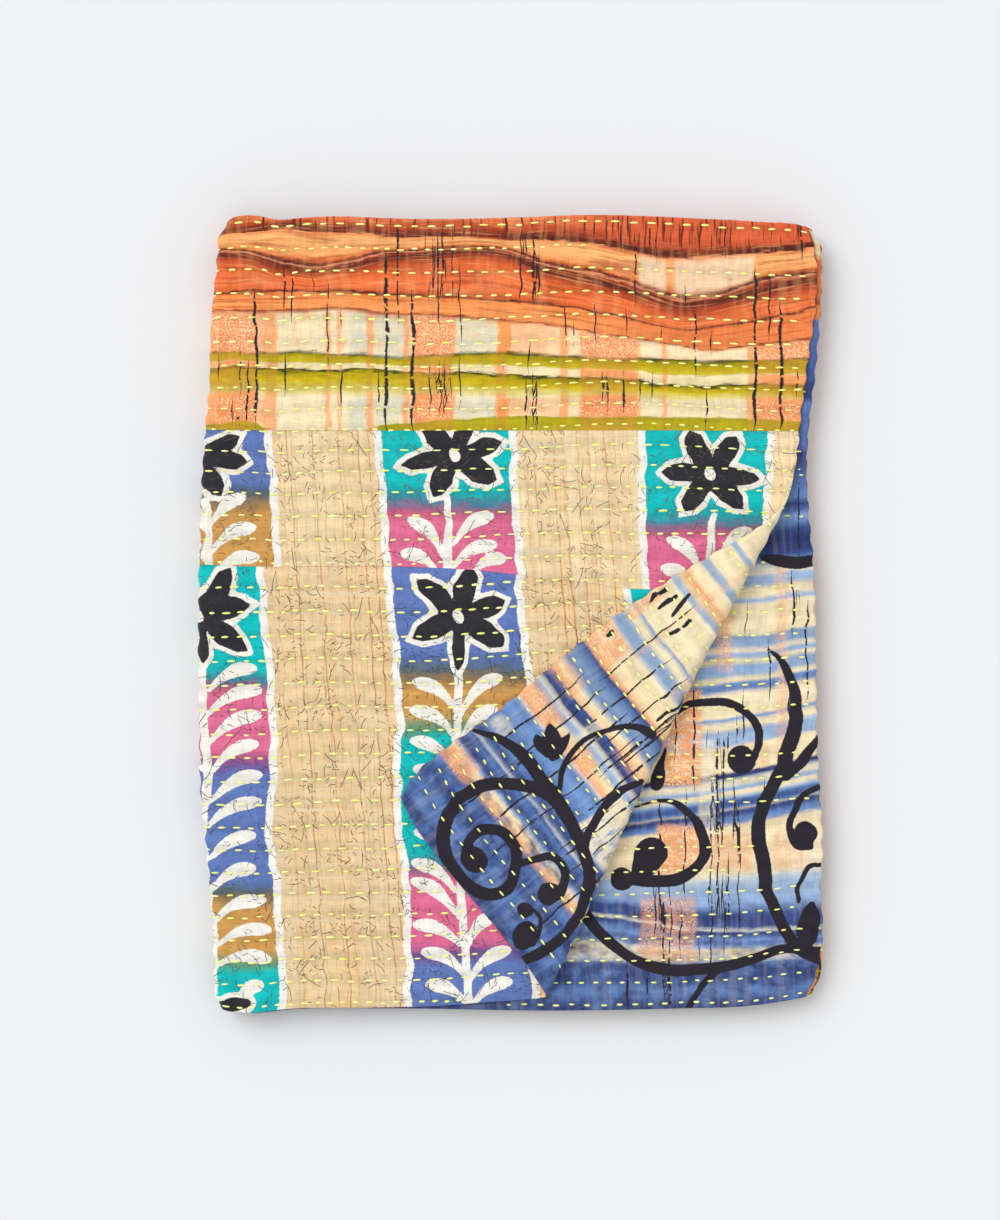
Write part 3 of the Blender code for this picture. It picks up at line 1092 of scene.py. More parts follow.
@dataclass(frozen=True)
class Floss:
    """Stitches of soft floss, each a flattened, tapered length that dips in at both ends."""

    sewn: Sewn
    width: float = 1.75 * MM
    thickness: float = 0.85 * MM
    stations: tuple[float, ...] = (0.02, 0.17, 0.5, 0.83, 0.98)
    sides: int = 6
    side_hem: float = 238 * MM  # how far along the last stitch may end
    stray: float = 0.35 * MM  # of a stitch from its row
    drift: float = 0.5 * MM  # of a row, over 60 mm
    slant: float = 0.03
    size_spread: float = 0.09
    arch: float = 0.42 * MM  # how far a stitch's middle stands up
    sunk: float = 0.12 * MM  # how far its ends dip in

    def _spans(self, side: Side, half: Half, row: int) -> Array:
        """The stitches that lie on one side along one row.

        Args:
            side: which side of the quilt.
            half: which half of the width.
            row: which row.

        Returns:
            The start and the end of each.
        """
        needle = self.sewn.quilting.needle(half, row)
        first = 0 if side is Side.FACE else 1
        starts, ends = needle[first:-1:2], needle[first + 1 :: 2]
        count = min(len(starts), len(ends))
        return np.stack([starts[:count], ends[:count]], axis=-1)

    def _shows(self, side: Side, half: Half, at: Place) -> Array:
        """Which stitches can be seen.

        Args:
            side: which side of the quilt they are on.
            half: which half of the width.
            at: their middles.

        Returns:
            Whether each can.
        """
        past = self.sewn.past_roll(at)
        on_top = at.run == self.sewn.folding.top
        if side is Side.FACE and half is Half.UPPER:
            return (on_top & (past < 10 * MM)) | (at.run % 4 == 1) | (at.run == 0)
        if side is Side.FACE:
            return at.run == 3
        if half is Half.UPPER:
            return on_top & (past > 0)
        return on_top & (past > -24 * MM)

    def mesh(self, side: Side, half: Half) -> Mesh:
        """All the stitches that show on one side of one half of the width.

        Args:
            side: which side of the quilt.
            half: which half of the width.

        Returns:
            One surface with all of them, each with a tint of its own.
        """
        f, q = self.sewn.folding, self.sewn.quilting
        spans, rows = [], []
        for row in range(q.rows):
            found = self._spans(side, half, row)
            spans.append(found)
            rows.append(np.full(len(found), row))
        span, row = np.concatenate(spans), np.concatenate(rows)
        rng = np.random.default_rng(977 + 31 * half.value + (side is Side.FACE))
        wander = rng.normal(0, self.stray, len(span))
        wander = wander + self.drift * uneven(span[:, 0], row * 1.0, (60 * MM, 1.0), 21)
        middle = self._spots(half, row, span.mean(axis=1), wander)
        keep = self._shows(side, half, middle) & (span[:, 1] < self.side_hem)
        span, row, wander = span[keep], row[keep], wander[keep]
        slant = rng.normal(0, self.slant, len(span))
        size = rng.normal(1, self.size_spread, len(span))
        t = np.array(self.stations)
        angle = 2 * np.pi * np.arange(self.sides) / self.sides
        reach = np.sin(np.pi * np.clip(t, 0.03, 0.97)) ** 0.45
        length = span[:, 1:] - span[:, :1]
        along = span[:, :1] + length * (0.03 + 0.94 * t)
        along = along[:, :, None] + np.zeros(self.sides)
        wide = self.width / 2 * reach[None, :, None] * np.cos(angle) * size[:, None, None]
        slope = slant[:, None, None] * length[:, None] * (t - 0.5)[None, :, None]
        aside = wander[:, None, None] + wide + slope
        high = self.thickness / 2 * reach[None, :, None] * np.sin(angle) * size[:, None, None]
        arch = self.arch * np.sin(np.pi * t)[None, :, None] - self.sunk
        at = self._spots(half, row[:, None, None] + np.zeros(along.shape), along, aside)
        middle = along[:, :, 0]
        centre = self._spots(half, row[:, None] + np.zeros(middle.shape), middle, wander[:, None])
        base = q.relief(side, centre, *f.unrolled(centre))
        here = q.relief(side, at, *f.unrolled(at))
        lift = (base[:, :, None] - here) + high + arch
        points = self.sewn.surface(side, at, lift)
        count, rings, sides = along.shape
        ring = np.arange(rings - 1)[:, None] * sides + np.arange(sides)
        after = np.arange(rings - 1)[:, None] * sides + (np.arange(sides) + 1) % sides
        quad = np.stack([ring, after, after + sides, ring + sides], axis=-1).reshape(-1, 4)
        if side is Side.REVERSE:
            quad = quad[:, ::-1]
        last = (rings - 1) * sides
        near_cap = np.array([[0, 5, 4, 1], [1, 4, 3, 2]])
        caps = np.concatenate([near_cap, last + near_cap[:, [0, 3, 2, 1]]])
        quad = np.concatenate([quad, caps if side is Side.FACE else caps[:, ::-1]])
        faces = (np.arange(count)[:, None, None] * rings * sides + quad).reshape(-1, 4)
        tint = np.repeat(rng.uniform(0, 1, count), rings * sides)
        return Mesh(points.reshape(-1, 3), faces, {"tint": tint}, np.zeros((0, 2)))

    def _spots(self, half: Half, row: Array, along: Array, aside: Array) -> Place:
        """Places along rows of stitches.

        Args:
            half: which half of the width.
            row: which rows.
            along: how far along the cloth.
            aside: how far from the row, up the cloth.

        Returns:
            The places.
        """
        q, f = self.sewn.quilting, self.sewn.folding
        share = (q.first + row * q.pitch + aside) / f.width
        across = share if half is Half.UPPER else 3 - share
        return f.place(along, across)


# The prints. Each turns places on the cloth into the fields that its finish is drawn from.


def led(lines: Iterable[Curve], at: Array, stray: float, size: Size, seed: int) -> list[Array]:
    """Reads several lines, each of which strays a little.

    Args:
        lines: the lines.
        at: places along them.
        stray: how far each strays.
        size: how far apart its strays are.
        seed: which strays.

    Returns:
        Each line's values.
    """
    strays = (stray * uneven(at, at * 0, size, seed + i) for i, _ in enumerate(lines))
    return [line.read(at) + off for line, off in zip(lines, strays)]


def ladder(value: Array, steps: Sequence[Array]) -> Array:
    """Which two of a set of lines a value lies between.

    Args:
        value: the value at each point.
        steps: each line's own value there, all rising or all falling.

    Returns:
        0 at the first line, 1 at the next, and so on, with shares between.
    """
    pairs = zip(steps, steps[1:])
    return sum(np.clip((low - value) / (low - high), 0, 1) for low, high in pairs)


def within(value: Array, spans: Rows, soft: float) -> Array:
    """A mask of where a value lies in some spans.

    Args:
        value: the value at each point.
        spans: (lowest, highest) of each.
        soft: how far their ends fade.

    Returns:
        1 inside and 0 outside.
    """
    found = np.zeros(value.shape)
    for low, high in spans:
        inside_by = np.minimum(value - low, high - value)
        found = np.maximum(found, eased(inside_by / soft + 0.5))
    return found


def shortest(x: Array, y: Array, strokes: Iterable[Rows], limit: float = 8.0) -> Array:
    """How far points lie outside the nearest of several brushed lines.

    Args:
        x: places along, in millimetres.
        y: places up.
        strokes: each line as (along, up, width) rows, which a smooth curve is led through.
        limit: the largest distance that is told apart.

    Returns:
        Distances in millimetres, below zero inside a line.
    """
    found = np.full(x.shape, limit)
    for stroke in strokes:
        rows = np.array(stroke, float)
        ends = np.vstack([2 * rows[0] - rows[1], rows, 2 * rows[-1] - rows[-2]])
        t = np.arange(0, len(rows) - 1 + 1e-9, 0.2 if len(rows) > 2 else 0.5)
        i = np.minimum(t.astype(int), len(rows) - 2)
        t = (t - i)[:, None]
        a, b, c, d = ends[i], ends[i + 1], ends[i + 2], ends[i + 3]
        line = b + 0.5 * t * (c - a + t * (2 * a - 5 * b + 4 * c - d + t * (3 * (b - c) + d - a)))
        wide = limit + line[:, 2].max()
        low, high = line[:, :2].min(axis=0) - wide, line[:, :2].max(axis=0) + wide
        near = np.flatnonzero((x > low[0]) & (x < high[0]) & (y > low[1]) & (y < high[1]))
        for start, end in zip(line, line[1:]):
            step = end - start
            away_x, away_y = x[near] - start[0], y[near] - start[1]
            share = (away_x * step[0] + away_y * step[1]) / max(step[0] ** 2 + step[1] ** 2, 1e-9)
            share = np.clip(share, 0, 1)
            gap = np.hypot(away_x - share * step[0], away_y - share * step[1])
            gap = gap - np.maximum(start[2] + share * step[2], 0) / 2
            found[near] = np.minimum(found[near], gap)
    return found


THIN_RUN = 1.3  # millimetres


def run_marks(x: Array, y: Array, marks: Rows) -> dict[str, Array]:
    """Thin lines of dye that has run up and down the cloth.

    Args:
        x: places along, in millimetres.
        y: places up.
        marks: (along, lowest, highest) of each line, and its width where it isn't a usual one.

    Returns:
        "run", the offset from the nearest line in half widths, and "run_off", how far from any.
    """
    off, away = np.full(x.shape, 9.0), np.full(x.shape, 9.0)
    for i, (at, low, high, *width) in enumerate(marks):
        width = width[0] if width else THIN_RUN
        near = np.flatnonzero((abs(x - at) < 12) & (y > low - 9) & (y < high + 9))
        here_x, here_y = x[near], y[near]
        middle = at + 0.5 * uneven(here_y, here_x * 0, (14, 1), 40 + i)
        taper = np.clip((np.minimum(here_y - low, high - here_y) + 1) / 12, 0.25, 1)
        swollen = width / 2 * taper * (1 + 0.35 * uneven(here_y, here_x * 0, (9, 1), 90 + i))
        side = here_x - middle
        gap = np.maximum(abs(side) - width / 2, np.maximum(low - here_y, here_y - high))
        closer = gap < away[near]
        off[near] = np.where(closer, side / swollen, off[near])
        away[near] = np.where(closer, gap, away[near])
    return {"run": off, "run_off": away}


class Print:
    """A print on cloth, in the cloth's own two directions."""

    def fields(self, along: Array, up: Array) -> dict[str, Array]:
        """The named fields that the print's finish is drawn from, in millimetres."""
        return {"along": along / MM, "up": up / MM}


@dataclass(frozen=True)
class OmbrePrint(Print):
    """Wavy bands of orange, red and olive, with checks between them and streaks of run dye."""

    lines: tuple[Curve, ...] = (
        Curve(((-250, 318), (250, 318))),
        Curve((
            (-236, 299.8), (-207, 304.2), (-166, 306.1), (-127, 303), (-87, 299.4), (-24, 298.2),
            (15, 297.4), (71, 295.1), (106, 285.6), (174, 285.2), (205, 287.2), (238, 289.5),
        )),
        Curve((
            (-237, 288), (-214, 288), (-198, 284.4), (-178, 278.5), (-158, 276.1), (-135, 278.5),
            (-119, 282.8), (-99, 287.2), (-73, 288.4), (5, 287.6), (26, 278.5), (48, 274.5),
            (90, 265), (132, 251.6), (154, 251.6), (196, 264.3), (238, 269),
        )),
        Curve((
            (-237, 278.5), (-214, 278.5), (-178, 269.8), (-158, 266.6), (-135, 269), (-99, 274.5),
            (-73, 276.9), (5, 275.3), (26, 266.6), (48, 260.3), (90, 249.2), (132, 235.8),
            (154, 236.6), (196, 246.1), (238, 255.6),
        )),
        Curve((
            (-237, 253.2), (-198, 256.4), (-143, 256.4), (-111, 254), (-73, 252.9), (-16, 248.5),
            (26, 245.3), (68, 239.8), (101, 232.7), (132, 226.3), (164, 228.7), (217, 238.2),
            (238, 243.7),
        )),
        Curve((
            (-237, 240.6), (-166, 240.6), (-147, 242.1), (-111, 239.8), (-16, 234.2), (26, 229.5),
            (71, 222.4), (132, 212.9), (154, 209.7), (197, 212.9), (238, 217.6),
        )),
        Curve((
            (-237, 207.4), (-182, 206.6), (-158, 207.4), (-127, 205.2), (-87, 203.8), (-8, 207.4),
            (71, 203.4), (150, 201.1), (238, 203.4),
        )),
        Curve((
            (-237, 194.7), (-214, 196.7), (-190, 194.7), (-143, 193.9), (-103, 193.6), (-73, 192),
            (-16, 190.4), (48, 188.4), (90, 186.8), (121, 182.5), (154, 180.8), (196, 182.1),
            (238, 181.3),
        )),
        Curve((
            (-237, 155.2), (-166, 159.2), (-87, 157.6), (-48, 159.2), (102, 160), (181, 160.8),
            (238, 158.4),
        )),
        Curve((
            (-237, 141), (-199, 139.4), (-181, 90.5), (-135, 90.5), (-106, 130), (-71, 139.4),
            (238, 142.6),
        )),
    )
    speckled: Rows = ((-232.7, -201.8), (-77, -45.4), (54.9, 100.7), (191.6, 238.2),)
    pale: Rows = ((102.3, 123.6), (130.7, 192.4),)
    columns: Rows = ((-240.6, -232.7), (-194.7, -185.3), (-146.5, -142.6), (-137.1, -134.7),
                     (-114.2, -108.6), (-84.9, -81), (-11.5, -2.8), (39.1, 45.4), (119.7, 123.6),
                     (186.8, 191.6),)
    runs: Rows = (
        (-214.5, 173, 211), (-201.8, 154, 256, 2.4), (-178.9, 233, 278), (-178.9, 173, 207),
        (-172.6, 231, 272), (-156.8, 256, 272), (-145, 197, 264), (-133.9, 225, 241),
        (-133.9, 158, 197), (-104.7, 158, 193), (-98.4, 145, 286, 2.5), (-88.9, 231, 314),
        (-77.8, 145, 256, 2.7), (-66.8, 278, 304, 0.9), (-64.4, 245, 262, 0.9),
        (-60.8, 252, 300, 0.9), (-57, 225, 305, 1.2), (-53.3, 252, 313, 1), (-50.6, 261, 286, 0.9),
        (-45.4, 248, 308, 0.9), (-39.9, 213, 278, 1), (-5.1, 195, 203), (8.3, 245, 309),
        (12.2, 280, 302), (18.6, 245, 302, 1.9), (22.2, 248, 288), (12.6, 146, 189),
        (20.9, 146, 189), (76.2, 160, 191), (89.3, 159, 193, 1.9), (92, 221, 245),
        (99.1, 245, 304), (111.8, 169, 191), (118.5, 214, 229), (138.6, 241, 260),
        (145.8, 187, 248), (155.2, 146, 181), (158.4, 205, 225), (193.6, 146, 274, 2.5),
        (205, 217, 272), (213.7, 146, 248, 2.5), (227.1, 169, 197), (238.2, 233, 248),
        (66.8, 296, 316), (-63.6, 158, 201, 1.2), (-58.9, 171, 192, 0.9), (-55.5, 155, 201),
        (-51.6, 155, 201, 1.1), (-47.3, 168, 195, 1), (-39.9, 162, 207, 1.1), (-231.1, 185, 205),
        (-220, 150, 173), (-208.2, 150, 201, 1.6), (-216.1, 150, 160), (-201.1, 149, 160),
        (-209, 149, 160, 1.9), (-214.5, 150, 160), (14.6, 192, 217), (17.8, 150, 192),
        (67.5, 213, 248), (43.8, 213, 248), (50.2, 213, 233), (72.3, 166, 191), (102.3, 169, 189),
        (88.1, 288, 314), (111, 283, 313), (116.5, 278, 308), (163.9, 291, 313), (170.2, 282, 312),
        (206.6, 296, 315), (230.3, 278, 314),
    )

    def fields(self, along: Array, up: Array) -> dict[str, Array]:
        """The fields; beyond the strip that shows, the bands go on as a mirror has them.

        Args:
            along: places along the cloth, in metres.
            up: places up its width.

        Returns:
            One array for each named field.
        """
        x, y = along / MM, up / MM
        x = np.where(x < -250, -250 + abs((-250 - x) % 992 - 496) * -1 + 496, x)
        y = np.where(y > 316, 145 + abs(((y - 316) * 0.9) % 342 - 171), y)
        band = ladder(y, led(self.lines, x, 0.8, (30, 1), 60))
        found = {"along": x, "up": y, "band": band}
        found["checked"] = within(band, ((5.05, 5.97), (7.6, 8.3)), 0.1)
        found["olive"] = within(band, ((5.97, 6.6), (6.99, 7.5), (8.36, 9.5)), 0.04)
        found["speckled"] = within(x, self.speckled, 2.0)
        found["column"] = within(x, self.columns, 1.6) * 0.7
        found["pale"] = within(x, self.pale, 3) * within(band, ((1.12, 1.9),), 0.2)
        return found | run_marks(x, y, self.runs)


@dataclass(frozen=True)
class Flower:
    """A flower of petals with cut corners round an open eye."""

    centre: tuple[float, float]
    petals: Rows  # (direction in degrees, length, width)
    eye: float = 5.2
    petal: Rows = (  # one petal's corners, in shares of its length and width
        (0, -0.36), (0.6, -0.54), (0.9, -0.3), (1.04, 0.1), (0.84, 0.48), (0.45, 0.52), (0, 0.36),
    )

    def outside(self, x: Array, y: Array) -> Array:
        """How far points lie outside the nearest petal, with each of its corners kept sharp.

        Args:
            x: places along, in millimetres.
            y: places up.

        Returns:
            Distances in millimetres, below zero inside a petal.
        """
        found = np.full(x.shape, 99.0)
        for i, (angle, length, width) in enumerate(self.petals):
            way = np.array([math.cos(math.radians(angle)), math.sin(math.radians(angle))])
            right, up = x - self.centre[0], y - self.centre[1]
            forth, aside = right * way[0] + up * way[1], up * way[0] - right * way[1]
            aside = -aside if i % 2 else aside
            corners = [(t * length, wide * width) for t, wide in self.petal]
            here = np.full(x.shape, -99.0)
            for a, b in zip(corners, corners[1:] + corners[:1]):
                step = (b[0] - a[0], b[1] - a[1])
                gap = (forth - a[0]) * step[1] - (aside - a[1]) * step[0]
                here = np.maximum(here, gap / math.hypot(*step))
            found = np.minimum(found, here)
        return found


def leaf(base: tuple[float, float], tip: tuple[float, float], bow: float = 0.18) -> Rows:
    """A drop-shaped leaf as a brushed line, thin at its base and round at its tip.

    Args:
        base: where it leaves the stem, in millimetres along and up.
        tip: its far end.
        bow: how far it bends to the left of its way, as a share of its length.

    Returns:
        (along, up, width) rows.
    """
    right, up = tip[0] - base[0], tip[1] - base[1]
    shape = ((0, 3, 0), (0.3, 6.5, 0.8), (0.6, 10.6, 1), (0.8, 10.4, 0.6), (0.93, 6, 0.2))
    return tuple(
        (base[0] + right * t - up * bow * aside, base[1] + up * t + right * bow * aside, wide)
        for t, wide, aside in shape
    )


@dataclass(frozen=True)
class BlockPrint(Print):
    """Dyed columns of flowers and leaves with white borders, and plain striped ones between."""

    edges: tuple[Curve, ...]  # each border's middle, as (up, along); dyed columns come first
    dyes: tuple[Rows, ...]  # for each dyed column, (up, dye) rows; a whole number is a pure dye
    flowers: tuple[Flower, ...]
    leaves: tuple[tuple[float, float, float, float], ...]  # base and tip
    stems: tuple[Rows, ...]
    blots: tuple[Rows, ...] = ()
    hub: float = 5.2  # how wide the petals' joined middle is round the eye
    outline: float = 4.0  # the white line round a flower
    repeat: float = 203.0

    def fields(self, along: Array, up: Array) -> dict[str, Array]:
        """The fields; past the left turn the pattern repeats.

        Args:
            along: places along the cloth, in metres.
            up: places up its width.

        Returns:
            One array for each named field.
        """
        x, y = along / MM, up / MM
        x = np.where(x < -250, -250 + (x + 250) % self.repeat, x)
        dyed, dye = np.full(x.shape, 99.0), np.zeros(x.shape)
        for number, rows in enumerate(self.dyes):
            left, right = self.edges[2 * number].read(y), self.edges[2 * number + 1].read(y)
            wobble = 1.3 * uneven(y, x * 0, (11, 1), 7 + number)
            outside = np.maximum(left - x, x - right) + wobble
            known = np.array(sorted(rows), float)
            here = np.interp(y + 3.5 * uneven(x, y, (30, 60), 13), known[:, 0], known[:, 1])
            dye = np.where(outside < dyed, here, dye)
            dyed = np.minimum(dyed, outside)
        petals, eyes = shortest(x, y, self.blots, 20.0), np.full(x.shape, 30.0)
        for flower in self.flowers:
            petals = np.minimum(petals, flower.outside(x, y) + 1.3 * uneven(x, y, (10, 10), 21))
            lean = (x - flower.centre[0]) + 0.25 * (y - flower.centre[1])
            eye = np.hypot(lean * 1.2, (y - flower.centre[1]) * 0.95) - flower.eye
            eyes = np.minimum(eyes, eye)
        petals = np.minimum(petals, eyes - self.hub)
        around = petals - self.outline
        greens = [leaf((a, b), (c, d), 0.13 if c > a else -0.13) for a, b, c, d in self.leaves]
        leaves = shortest(x, y, [*greens, *self.stems])
        leaning = x + 0.07 * y  # the stripes run with the columns
        found = {"along": leaning, "up": y, "dyed": dyed, "dye": dye}
        return found | {"dark": np.maximum(petals, -eyes), "resist": np.minimum(leaves, around)}


UPPER_BLOCKS = BlockPrint(
    edges=(
        Curve(((100, -290), (200, -290))),
        Curve(((11, -184.5), (47, -185.3), (78, -187.2), (98, -188), (118, -190),
               (145, -192.4),)),
        Curve(((11, -96), (43, -97.6), (83, -99.9), (114, -103.1), (145, -105.5),)),
        Curve(((19, 8.3), (43, 6.7), (83, 3.2), (145, 2),)),
        Curve(((11, 110.2), (43, 107), (75, 104.7), (145, 105.5),)),
        Curve(((11, 205), (75, 203.4), (145, 205.8),)),
    ),
    dyes=(
        ((35.2, 3), (79.4, 3), (107.8, 2), (145, 2),),
        ((19.4, 1), (71.5, 1), (101.5, 0), (145, 0),),
        ((11.5, 1), (58.9, 1), (85.7, 0), (145, 0),),
    ),
    flowers=(
        Flower((-45, 126), ((190, 40.3, 13.4), (246, 35.6, 16.6), (-32, 39.5, 17.4),
                                 (16, 39.5, 11.9), (66, 35.6, 14.2), (136, 37.1, 15.8))),
        Flower((158, 111), ((176, 36.3, 13.4), (236, 34.8, 15.8), (-48, 36.3, 16.6),
                               (-4, 39.5, 13.4), (52, 37.1, 15), (116, 36.3, 15.8))),
        Flower((-246, 124), ((26, 35.6, 13.4), (-4, 36.3, 14.2), (-62, 34.8, 15.8),
                               (-120, 34.8, 14.2), (120, 34.8, 14.2), (176, 36.3, 15))),
    ),
    leaves=(
        (-54, 47, -82, 76), (-45, 56, -13, 79), (-58, 34, -87, 49),
        (-45, 38, -10, 56), (-29, 34, -4, 45),
        (151, 34, 124, 61), (167, 46, 191, 67), (151, 18, 120, 37),
        (-237, 71, -209, 93), (-237, 48, -201, 70), (-234, 32, -199, 46),
        (-241, 67, -261, 90), (-241, 43, -264, 67),
    ),
    stems=(
        ((-50, 92, 5.1), (-49, 75, 5.5), (-50, 55, 7.1), (-49, 11, 9.5),),
        ((161, 78, 5.1), (159, 55, 6.3), (158, 11, 7.1),),
        ((-240, 90, 5.5), (-239, 67, 5.5), (-238, 11, 7.1),),
    ),
)

LEANING_PETALS = (
    (55, 43.5, 15.8), (14, 41.1, 15.8), (-38, 45, 15.8), (-84, 35.6, 10.3),
    (196, 39.5, 15.8), (132, 39.5, 15.8),
)

LOWER_BLOCKS = BlockPrint(
    edges=(
        Curve(((-320, -290), (60, -290))),
        Curve(((-312, -181.3), (-297, -179.7), (-273, -182.1), (-249, -184.5), (-210, -186),
               (-186, -189.2), (-163, -190.8), (-131, -189.2), (-101, -188.4), (-68, -190),
               (-36, -192.4), (11, -196.3), (31, -198.2), (43, -198.7),)),
        Curve(((-306, -80.2), (-259, -81), (-211, -83.3), (-179, -86.5), (-115, -88.9),
               (-83, -87.3), (-40, -89.7), (8, -94.4), (43, -97.6),)),
        Curve(((-306, 18.6), (-147, 15.4), (-83, 16.2), (-36, 13), (8, 6.7), (43, 6.7),)),
        Curve(((-306, 102.3), (43, 92),)),
        Curve(((-306, 209.7), (43, 203.4),)),
    ),
    dyes=(
        ((-314, 4), (-288.7, 4), (-263.5, 3), (-235, 3), (-206.6, 2), (-133.9, 2), (-103.9, 1),
         (-69.1, 1), (-42.3, 0), (43.1, 0),),
        ((-314, 6), (-282.4, 6), (-252.4, 5), (-212.9, 5), (-186, 4), (-102.3, 4), (-72.3, 3),
         (-61.2, 3), (-28, 2), (43.1, 2),),
        ((-314, 1), (-67.5, 1), (-54.1, 0), (43.1, 0),),
    ),
    flowers=(
        Flower((-41, -2), ((136, 44.2, 15.8), (79, 38.7, 17.4), (18, 37.9, 15),
                               (-31, 41.1, 16.6), (-91, 41.9, 9.5), (207, 39.5, 16.6))),
        Flower((-246, -1), LEANING_PETALS),
        Flower((162, -8), LEANING_PETALS),
    ),
    leaves=(
        (-44, -75, -79, -53), (-39, -79, -5, -49), (-45, -96, -80, -75),
        (-38, -97, -11, -74), (-45, -120, -79, -99), (-38, -121, -8, -102),
        (-43, -143, -77, -121), (-41, -167, -75, -147), (-41, -191, -76, -172),
        (-44, -219, -80, -196), (-41, -240, -81, -210), (-38, -263, -78, -245),
        (-34, -263, -11, -237), (-35, -287, -71, -267), (-32, -289, 0, -265),
        (-34, -308, -67, -293), (-30, -309, 1, -290), (-35, -218, -8, -196),
        (-239, -61, -201, -42), (-240, -80, -196, -60), (-239, -102, -196, -79),
        (-236, -124, -199, -102), (-237, -148, -196, -127), (-240, -169, -196, -148),
        (-239, -195, -200, -175), (-237, -220, -200, -200), (-234, -243, -192, -226),
        (-231, -261, -189, -250), (-234, -278, -189, -275), (-217, -308, -196, -293),
        (-242, -68, -277, -47), (-242, -95, -280, -75), (-242, -123, -278, -102),
        (-244, -169, -277, -148), (-242, -210, -277, -189), (-239, -261, -272, -240),
    ),
    stems=(
        ((-41, -42, 7.1), (-42, -83, 6.3), (-43, -115, 5.5), (-41, -162, 5.5), (-40, -210, 6.3),
         (-36, -265, 6.3), (-32, -317, 6.3),),
        ((-244, -42, 5.5), (-242, -91, 5.5), (-239, -123, 6.3), (-241, -154, 5.5),
         (-242, -182, 5.5), (-238, -214, 5.5), (-234, -253, 5.5), (-233, -293, 4.7),
         (-233, -317, 5.5),),
        ((164, -45, 6.3), (162, -147, 5.5), (166, -317, 6.3),),
    ),
    blots=(((-231, -311, 7.1), (-220, -309, 11.1), (-209, -308, 7.1),),),
)


@dataclass(frozen=True)
class ScrollPrint(Print):
    """Checked stripes in blue, cream and orange, with black scrolls brushed over them."""

    lines: tuple[Curve, ...]  # along which one stripe runs, from the hem up
    heights: tuple[float, ...]  # how far above the hem each line's stripe was meant to lie
    scrolls: tuple[Rows, ...]
    warm: tuple[tuple[float, ...], ...]  # left, right, low, high and depth of each orange place
    pale: tuple[tuple[float, ...], ...]  # the same of each undyed place
    runs: Rows

    def fields(self, along: Array, up: Array) -> dict[str, Array]:
        """The fields; stripes are told by how far above the hem they lie.

        Args:
            along: places along the cloth, in metres.
            up: places up its width.

        Returns:
            One array for each named field.
        """
        x, y = along / MM, up / MM
        y = np.where(y > 314, 628 - y, y)
        between = ladder(y, led(self.lines, x, 1.3, (34, 1), 17))
        stripe = np.interp(between, range(len(self.heights)), self.heights)
        found = {"along": x, "up": y, "stripe": stripe}
        for name, places in (("warm", self.warm), ("pale", self.pale)):
            found[name] = np.zeros(x.shape)
            for left, right, low, high, depth in places:
                here = within(x, ((left, right),), 4) * within(y, ((low, high),), 5)
                found[name] = np.maximum(found[name], here * depth)
        scroll = shortest(x, y, self.scrolls)
        return found | {"scroll": scroll} | run_marks(x, y, self.runs)


